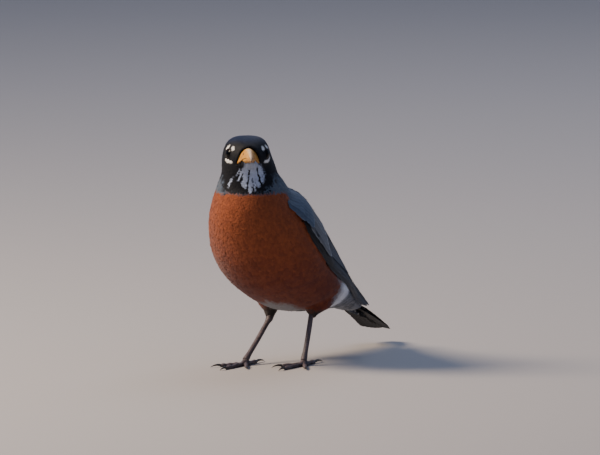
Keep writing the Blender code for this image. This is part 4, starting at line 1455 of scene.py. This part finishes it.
# %% [markdown]
# The scapulars and the mantle close the groove between wings and back: loose feathers that bridge it, as on a
# live bird. Their bed is a cape. In each line across the back it is stretched like a string from one wing's
# ridge to the other's, and behind, over the rump, it sinks back to the body.

# %% Scapulars
CAPE_TOP, CAPE_WAY = np.array((0.0, -44.0, 110.0)), unit(np.array((0.0, 0.74, -0.67)))
CAPE_OUT = np.cross(LEFTWARD, CAPE_WAY)
CAPE_ALONG, CAPE_ACROSS = np.linspace(0, 92, 62), np.linspace(-27, 27, 55)
CAPE_SINKS = (50, 74)  # millimetres down the back over which it comes down to the body
CAPE_FRONT, CAPE_REAR = 11.0, 70.0  # where the feathers' roots begin and end
CAPE_HALF = ((0, 20, 45, 70), (19, 17.8, 12.2, 5))  # its half width at those places down the back
CAPE_GAP = 2.2
CAPE_LOOK_FROM, CAPE_LOOK_DEPTH, NO_BACK = 30, 60, -20.0  # rays as for the wings


def stretched(across, heights):
    """The string over a line of heights: their upper hull."""
    hull = []
    for k in range(len(across)):
        while len(hull) > 1:
            i, j = hull[-2:]
            slope = (heights[k] - heights[i]) / (across[k] - across[i])
            if heights[j] > heights[i] + slope * (across[j] - across[i]):
                break
            hull.pop()
        hull.append(k)
    return np.interp(across, across[hull], heights[hull])


def cape():
    melted = Surface(*melt(["neck", "trunk", "rump", *wing_nodes(*SIDES)]))
    base = CAPE_TOP + np.outer(CAPE_ALONG, CAPE_WAY)
    height = np.full((len(CAPE_ALONG), len(CAPE_ACROSS)), NO_BACK)
    for i, j in np.ndindex(height.shape):
        start = Vector(base[i] + CAPE_OUT * CAPE_LOOK_FROM) + Vector((CAPE_ACROSS[j], 0, 0))
        hit = melted.tree.ray_cast(start, Vector(-CAPE_OUT), CAPE_LOOK_DEPTH)
        if hit[0] is not None:
            height[i, j] = CAPE_LOOK_FROM - hit[3]
    string = np.array([stretched(CAPE_ACROSS, line) for line in height])
    share = ramp(*CAPE_SINKS, CAPE_ALONG)[:, None]
    height = evened(string * (1 - share) + height * share, 6)
    points = base[:, None] + CAPE_OUT * height[..., None]
    points[..., 0] += CAPE_ACROSS
    return Surface(points.reshape(-1, 3), grid_triangles(*height.shape))


def lay_scapulars():
    bed = cape()

    def down_the_back(points):
        return (points - CAPE_TOP) @ CAPE_WAY

    def on_cape(points):
        along = down_the_back(points)
        inside = (along > CAPE_FRONT) & (along < CAPE_REAR)
        return inside * (np.abs(points[:, 0]) < np.interp(along, *CAPE_HALF))

    roots = scatter(bed, lambda points: np.full(len(points), CAPE_GAP), on_cape, 12)
    rng = np.random.default_rng(13)
    chance = rng.random(len(roots))
    along = down_the_back(roots)
    settled = ramp(CAPE_FRONT, CAPE_FRONT + 10, along) * (1 - 0.6 * ramp(CAPE_REAR - 15, CAPE_REAR, along))
    lengths = 8.5 + 3.0 * chance
    lines, normals = walk(bed, roots, lengths, 0.9 - 0.6 * settled, settled * (0.45 + 0.2 * chance))
    shade = plumage(lines[:, 4], chance) * rng.uniform(0.94, 1.05, (len(roots), 1))
    pattern = feather_pattern(FULL_GROUPS)
    add_coat("coat_scapulars", pattern, roots, lines, normals, 5.6 + chance, shade, SOFT_FEATHER)


lay_scapulars()


# %% [markdown]
# Twelve tail feathers lie in a pile when the tail is folded, the middle pair on top. The surface here is the
# tail's own middle sheet, with u along it and v across it in millimetres.

# %% Tail
TAIL_HALF, TAIL_ARCH, TAIL_BOW = 9.4, 1.8, 0.8  # half width, drop at the sides, rise halfway along
TAIL_PAIRS = 6


def tail_place(u, v, lift):
    u, v, lift = np.broadcast_arrays(u, v, lift)
    along = TAIL_TIP - TAIL_ROOT
    normal = unit(np.array((0.0, -along[2], along[1])))
    height = lift + TAIL_BOW * 4 * u * (1 - u) - TAIL_ARCH * (v / TAIL_HALF) ** 2
    return TAIL_ROOT + along * u[..., None] + normal * height[..., None] + np.stack([v, 0 * v, 0 * v], -1)


def build_tail():
    rng = np.random.default_rng(31)
    made = []
    for k in range(TAIL_PAIRS):
        for sign in (1, -1):
            height = 0.75 - 0.27 * k + (0.1 if sign > 0 else 0)
            start = (0.0, sign * (0.8 + 0.5 * k))
            end = (1.0 - 0.006 * k * k, sign * (2.0 + 1.05 * k))
            outer, inner = (2.6, 5.2) if sign < 0 else (5.2, 2.6)
            webs = (outer, inner) if k else (4.2, 4.2)
            points, vane = stiff_feather(tail_place, start, end, webs, (height * 2.2, height), 0.9, rng, 0.2)
            made.append((points, vane, shaded_vane("#0b0b0e", "#1b1d22", vane, webs, 0.3, rng)))
    join_vanes("tail_feathers", made, STIFF_FEATHER, ["tail_left", "tail_right"])


build_tail()


# %% [markdown]
# ## Eyes, bill and claws
# A museum sets glass eyes: a clear dome over a painted iris. A robin's iris is so dark a brown that eye and
# pupil look like one black bead, so the piece is a fine ball with a wet gloss and a very dark iris ring. A
# thin rim of bare black skin, the lid's edge, closes it off from the feathers.

# %% Eyes and lid rims
def eye_finish():
    material, shader = new_material("glass_eye_dark_brown", Roughness=0.1, IOR=1.38, Specular_IOR_Level=0.12)
    gaze = add(material, "ShaderNodeAttribute", attribute_name="gaze").outputs["Vector"]
    outwards = add(material, "ShaderNodeSeparateXYZ", {0: gaze}).outputs["X"]
    rings = {0.0: "#050405", 0.30: "#060505", 0.36: "#26140c", 0.56: "#1b0f0a", 0.68: "#070606"}
    iris = add(material, "ShaderNodeValToRGB", {"Fac": outwards}, rings)
    fibre = add(material, "ShaderNodeTexNoise", {"Vector": gaze, "Scale": 30.0, "Detail": 3.0})
    dimming = {0: iris.outputs["Color"], "Scale": fibre.outputs["Fac"]}
    feed(material, add(material, "ShaderNodeVectorMath", dimming, operation="SCALE").outputs[0], shader)
    return material


def lid_finish():
    material, shader = new_material("bare_lid_skin", Roughness=0.7, IOR=1.45)
    place = add(material, "ShaderNodeTexCoord").outputs["Object"]
    grain = add(material, "ShaderNodeTexNoise", {"Vector": place, "Scale": 2500.0}).outputs["Fac"]
    blacks = {0: grain, 6: paint("#070708"), 7: paint("#121114")}
    feed(material, add(material, "ShaderNodeMix", blacks, data_type="RGBA").outputs[2], shader)
    folds = {"Height": grain, "Distance": 0.00005, "Strength": 0.6}
    feed(material, add(material, "ShaderNodeBump", folds).outputs["Normal"], shader, "Normal")
    return material


BALL_ROWS, BALL_AROUND = 40, 56


def ball_points(centre, out, side_way, radius):
    """A ball whose pole looks along out, and each point's angle from that pole, in right angles."""
    rows, around = BALL_ROWS, BALL_AROUND
    third = np.cross(out, side_way)
    polar = np.linspace(0, np.pi, rows + 1)[1:-1]
    turn = np.linspace(0, 2 * np.pi, around, endpoint=False)
    ring = np.cos(turn)[:, None] * side_way + np.sin(turn)[:, None] * third
    body = [centre + radius * (out * math.cos(p) + ring * math.sin(p)) for p in polar]
    points = np.concatenate([[centre + out * radius], *body, [centre - out * radius]])
    angle = np.concatenate([[0], np.repeat(polar, around), [np.pi]]) / (np.pi / 2)
    turns = np.concatenate([[0], np.tile(turn, rows - 1), [0]])
    j = np.arange(around)
    k = (j + 1) % around
    faces = [np.stack([0 * j, 1 + j, 1 + k], 1)]
    for r in range(rows - 2):
        a, b = 1 + r * around, 1 + (r + 1) * around
        faces += [np.stack([a + j, b + j, b + k], 1), np.stack([a + j, b + k, a + k], 1)]
    last, end = 1 + (rows - 2) * around, len(points) - 1
    faces.append(np.stack([last + j, 0 * j + end, last + k], 1))
    return points, np.concatenate(faces), angle, turns


EYE_GLASS, LID_SKIN = eye_finish(), lid_finish()
EYE_OPENING = 3.25  # radius of the lids' opening
LID_THICK, LID_CORNER = 0.34, 0.10  # half thickness of the rim, and how much more it has at its corners
LID_FLAT = 0.07  # the opening is lower than it is long, by this share
LID_LONG, LID_ROUND = 64, 12  # points round the rim, and round its thickness


def build_eye(side):
    centre, out, front, up = eye_frame(side)
    points, triangles, angle, turns = ball_points(centre, out, front, EYE_BALL - 0.03)
    gaze = np.stack([angle, np.cos(turns), np.sin(turns)], 1)
    eye = array_object(f"glass_eye_{side}", points, triangles, EYE_GLASS, values={"gaze": gaze})
    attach(eye, "root")
    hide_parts(f"eye_{side}")
    small = np.linspace(0, 2 * np.pi, LID_ROUND, endpoint=False)
    depth = math.sqrt(EYE_BALL**2 - EYE_OPENING**2) + 0.02
    ring = []
    for t in np.linspace(0, 2 * np.pi, LID_LONG, endpoint=False):
        way = front * math.cos(t) + up * math.sin(t)
        middle = centre + out * depth + way * EYE_OPENING * (1 - LID_FLAT * abs(math.sin(t)))
        thick = LID_THICK + LID_CORNER * abs(math.cos(t)) ** 3
        ring += [middle + thick * (way * math.cos(a) + out * math.sin(a)) for a in small]
    i, j = np.meshgrid(range(LID_LONG), range(LID_ROUND), indexing="ij")
    steps = ((0, 0), (0, 1), (1, 0), (1, 1))
    a, b, c, d = (((i + m) % LID_LONG * LID_ROUND + (j + n) % LID_ROUND).ravel() for m, n in steps)
    triangles = np.concatenate([np.stack([a, c, d], 1), np.stack([a, d, b], 1)])
    lid = array_object(f"lid_rim_{side}", ring, triangles, LID_SKIN)
    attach(lid, "root")


for side in SIDES:
    build_eye(side)
print("eyes set")


# %% [markdown]
# The bill is bone under a thin horny sheath of keratin, smooth and slightly waxy: yellow with a dusky tip and
# fine grain along its length, and a paler ridge painted on as a highlight. It is lofted from the same
# stations as the solid, finer, with the nostrils pressed in and painted dark as shade, and the cutting edges
# crisp.

# %% Bill
# Each row: forward, ridge height, cutting-edge height, half width, keel height, in the head's frame.
BILL_STATIONS = np.array([
    (6.5, 2.6, -5.5, 6.4, -6.7), (9.0, 3.2, -4.9, 6.2, -6.4), (11.0, 3.4, -4.1, 5.3, -5.9),
    (13.0, 3.2, -3.3, 4.4, -5.4), (16.5, 2.4, -2.5, 3.5, -4.9), (21.0, 1.0, -2.1, 2.5, -4.5),
    (26.0, -0.8, -2.4, 1.6, -4.2), (29.4, -2.5, -3.2, 0.75, -4.0), (31.2, -3.7, -4.0, 0.3, -4.2),
])
NOSTRIL_AT, NOSTRIL_SIZE, NOSTRIL_DEPTH = (14.2, 0.3), (1.5, 0.55), 0.55  # forward, up; half sizes; depth
BILL_ROUND, BILL_BED, BILL_RINGS = 33, 5, 84  # points over a ring's arch and across its flat bed; rings
MOUTH_GAP = 0.12  # the lower half's edge lies this much under the upper one's


def bill_half(over):
    """Rings of the upper half (over = 1) or the lower half (over = -1), and each point's mark places."""
    upper = over > 0
    shorter, gap, bed_up, slim = (0, 0, 0.25, 1.0) if upper else (0.25, MOUTH_GAP, -0.35, 0.9)
    steps = np.linspace(0, len(BILL_STATIONS) - 1.0 - shorter, BILL_RINGS)
    angle = np.linspace(-np.pi / 2, np.pi / 2, BILL_ROUND)
    rings, values = [], []
    for forward, ridge, edge, half, keel in smooth_rows(BILL_STATIONS, steps):
        reach = abs(ridge - edge) if upper else abs(edge - gap - keel)
        wide = half * slim
        aside = np.concatenate([wide * np.sin(angle), np.linspace(0.8, -0.8, BILL_BED) * wide])
        arch = edge - gap + over * reach * np.cos(angle) ** (0.9 + 0.25 * upper)
        up = np.concatenate([arch, np.full(BILL_BED, edge + bed_up)])
        pit = np.zeros(len(aside))
        if upper:
            forth, high = (forward - NOSTRIL_AT[0]) / NOSTRIL_SIZE[0], (up - NOSTRIL_AT[1]) / NOSTRIL_SIZE[1]
            pit = np.exp(-((forth**2 + high**2) ** 2)) * (np.abs(aside) > 1.0)
            pit[BILL_ROUND:] = 0
            aside = aside - np.sign(aside) * pit * NOSTRIL_DEPTH
        rings.append(HEAD_MIDDLE + forward * AHEAD + np.outer(aside, ASIDE) + np.outer(up, UP))
        height = np.clip((up - edge) / max(abs(reach), 0.2), 0, 1) * upper
        values.append(np.stack([np.full(len(aside), forward), height, pit], 1))
    points, triangles = loft(rings)
    values = np.concatenate(values)
    return points, triangles, np.concatenate([values, values[[0, -1]]])


def bill_finish():
    material, shader = new_material(
        "waxy_bill_horn", Roughness=0.36, IOR=1.54,
        Subsurface_Weight=0.06, Subsurface_Radius=(0.0012, 0.0006, 0.0003),
    )
    bill_mark_place = add(material, "ShaderNodeAttribute", attribute_name="bill_mark_place").outputs["Vector"]
    forward, height, pit = add(material, "ShaderNodeSeparateXYZ", {0: bill_mark_place}).outputs
    place = add(material, "ShaderNodeTexCoord").outputs["Object"]
    cloud = add(material, "ShaderNodeTexNoise", {"Vector": place, "Scale": 320.0, "Detail": 4.0})
    yellows = {0.3: "#b0772a", 0.7: "#d39c48"}
    horn = add(material, "ShaderNodeValToRGB", {"Fac": cloud.outputs["Fac"]}, yellows).outputs["Color"]
    marks = (  # where, from, to, how strongly, and the tint: a paler ridge, a dusky tip, dark nostrils
        # Painted highlight: the top of the ridge is painted paler.
        (height, 0.86, 1.0, 0.55, "#dcc9a4"),
        (forward, 26.5, 31.5, 0.75, "#4a3724"),
        # Painted shade: the nostril pits are painted dark.
        (pit, 0.35, 0.8, 1.0, "#2a1c10"),
    )
    for where, low, high, most, tint in marks:
        reach = {"Value": where, "From Min": low, "From Max": high, "To Max": most}
        share = add(material, "ShaderNodeMapRange", reach).outputs[0]
        tints = {0: share, 6: horn, 7: paint(tint)}
        horn = add(material, "ShaderNodeMix", tints, data_type="RGBA").outputs[2]
    feed(material, horn, shader)
    stretch = add(material, "ShaderNodeMapping", {"Vector": bill_mark_place, "Scale": (0.35, 26.0, 0.0)})
    fine = {"Vector": stretch.outputs["Vector"], "Scale": 1.0, "Detail": 3.0}
    grain = add(material, "ShaderNodeTexNoise", fine)
    lines = {"Height": grain.outputs["Fac"], "Distance": 0.00012, "Strength": 0.35}
    feed(material, add(material, "ShaderNodeBump", lines).outputs["Normal"], shader, "Normal")
    return material


BILL_HORN = bill_finish()
for over, node in ((1, "bill_upper"), (-1, "bill_lower")):
    points, triangles, bill_mark_place = bill_half(over)
    half = array_object(node + "_horn", points, triangles, BILL_HORN, values={"bill_mark_place": bill_mark_place})
    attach(half, "root")
    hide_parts(node)
    print(half.name, len(triangles), "triangles")


# %% [markdown]
# Claws are keratin too, but black. Each is a curved cone, flattened from side to side, that grows out of the
# toe's last pad. The hind one is the longest. They touch the floor with their tips.

# %% Claws
# Each row: share of the length, then radius and height as shares of the toe's radius.
CLAW_CURVE = np.array([
    (0.0, 0.62, 0.80), (0.2, 0.60, 1.06), (0.45, 0.47, 1.10), (0.75, 0.29, 0.80), (1.0, 0.07, 0.17),
])
CLAW_SLIM = 0.8


def claw(side, name):
    turn, length, radius, reach, _ = TOES[name]
    rows = smooth_rows(CLAW_CURVE, np.linspace(0, len(CLAW_CURVE) - 1.0, CLAW_RINGS))
    way = toe_way(side, turn)
    start = np.array((*FEET[side], 0.0)) + way * (length - 0.5)
    line = start + np.outer(rows[:, 0] * (reach + 0.4), way)
    line[:, 2] = rows[:, 2] * radius
    return on_the_floor(*loft(tube_rings(line, rows[:, 1] * radius, CLAW_SLIM)))


def claw_finish():
    material, shader = new_material("black_claw_horn", Roughness=0.3, IOR=1.54)
    place = add(material, "ShaderNodeTexCoord").outputs["Object"]
    cloud = add(material, "ShaderNodeTexNoise", {"Vector": place, "Scale": 900.0, "Detail": 3.0})
    blacks = {0.0: "#131110", 1.0: "#322a26"}
    horn = add(material, "ShaderNodeValToRGB", {"Fac": cloud.outputs["Fac"]}, blacks)
    feed(material, horn.outputs["Color"], shader)
    grooves = {"Height": cloud.outputs["Fac"], "Distance": 0.00006, "Strength": 0.5}
    feed(material, add(material, "ShaderNodeBump", grooves).outputs["Normal"], shader, "Normal")
    return material


CLAW_HORN = claw_finish()
for side in SIDES:
    for name in TOES:
        points, triangles = claw(side, name)
        piece = array_object(f"claw_horn_{side}_{name}", points, triangles, CLAW_HORN)
        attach(piece, "root")
        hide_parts(f"claw_{side}_{name}")
print("claws:", 2 * len(TOES))
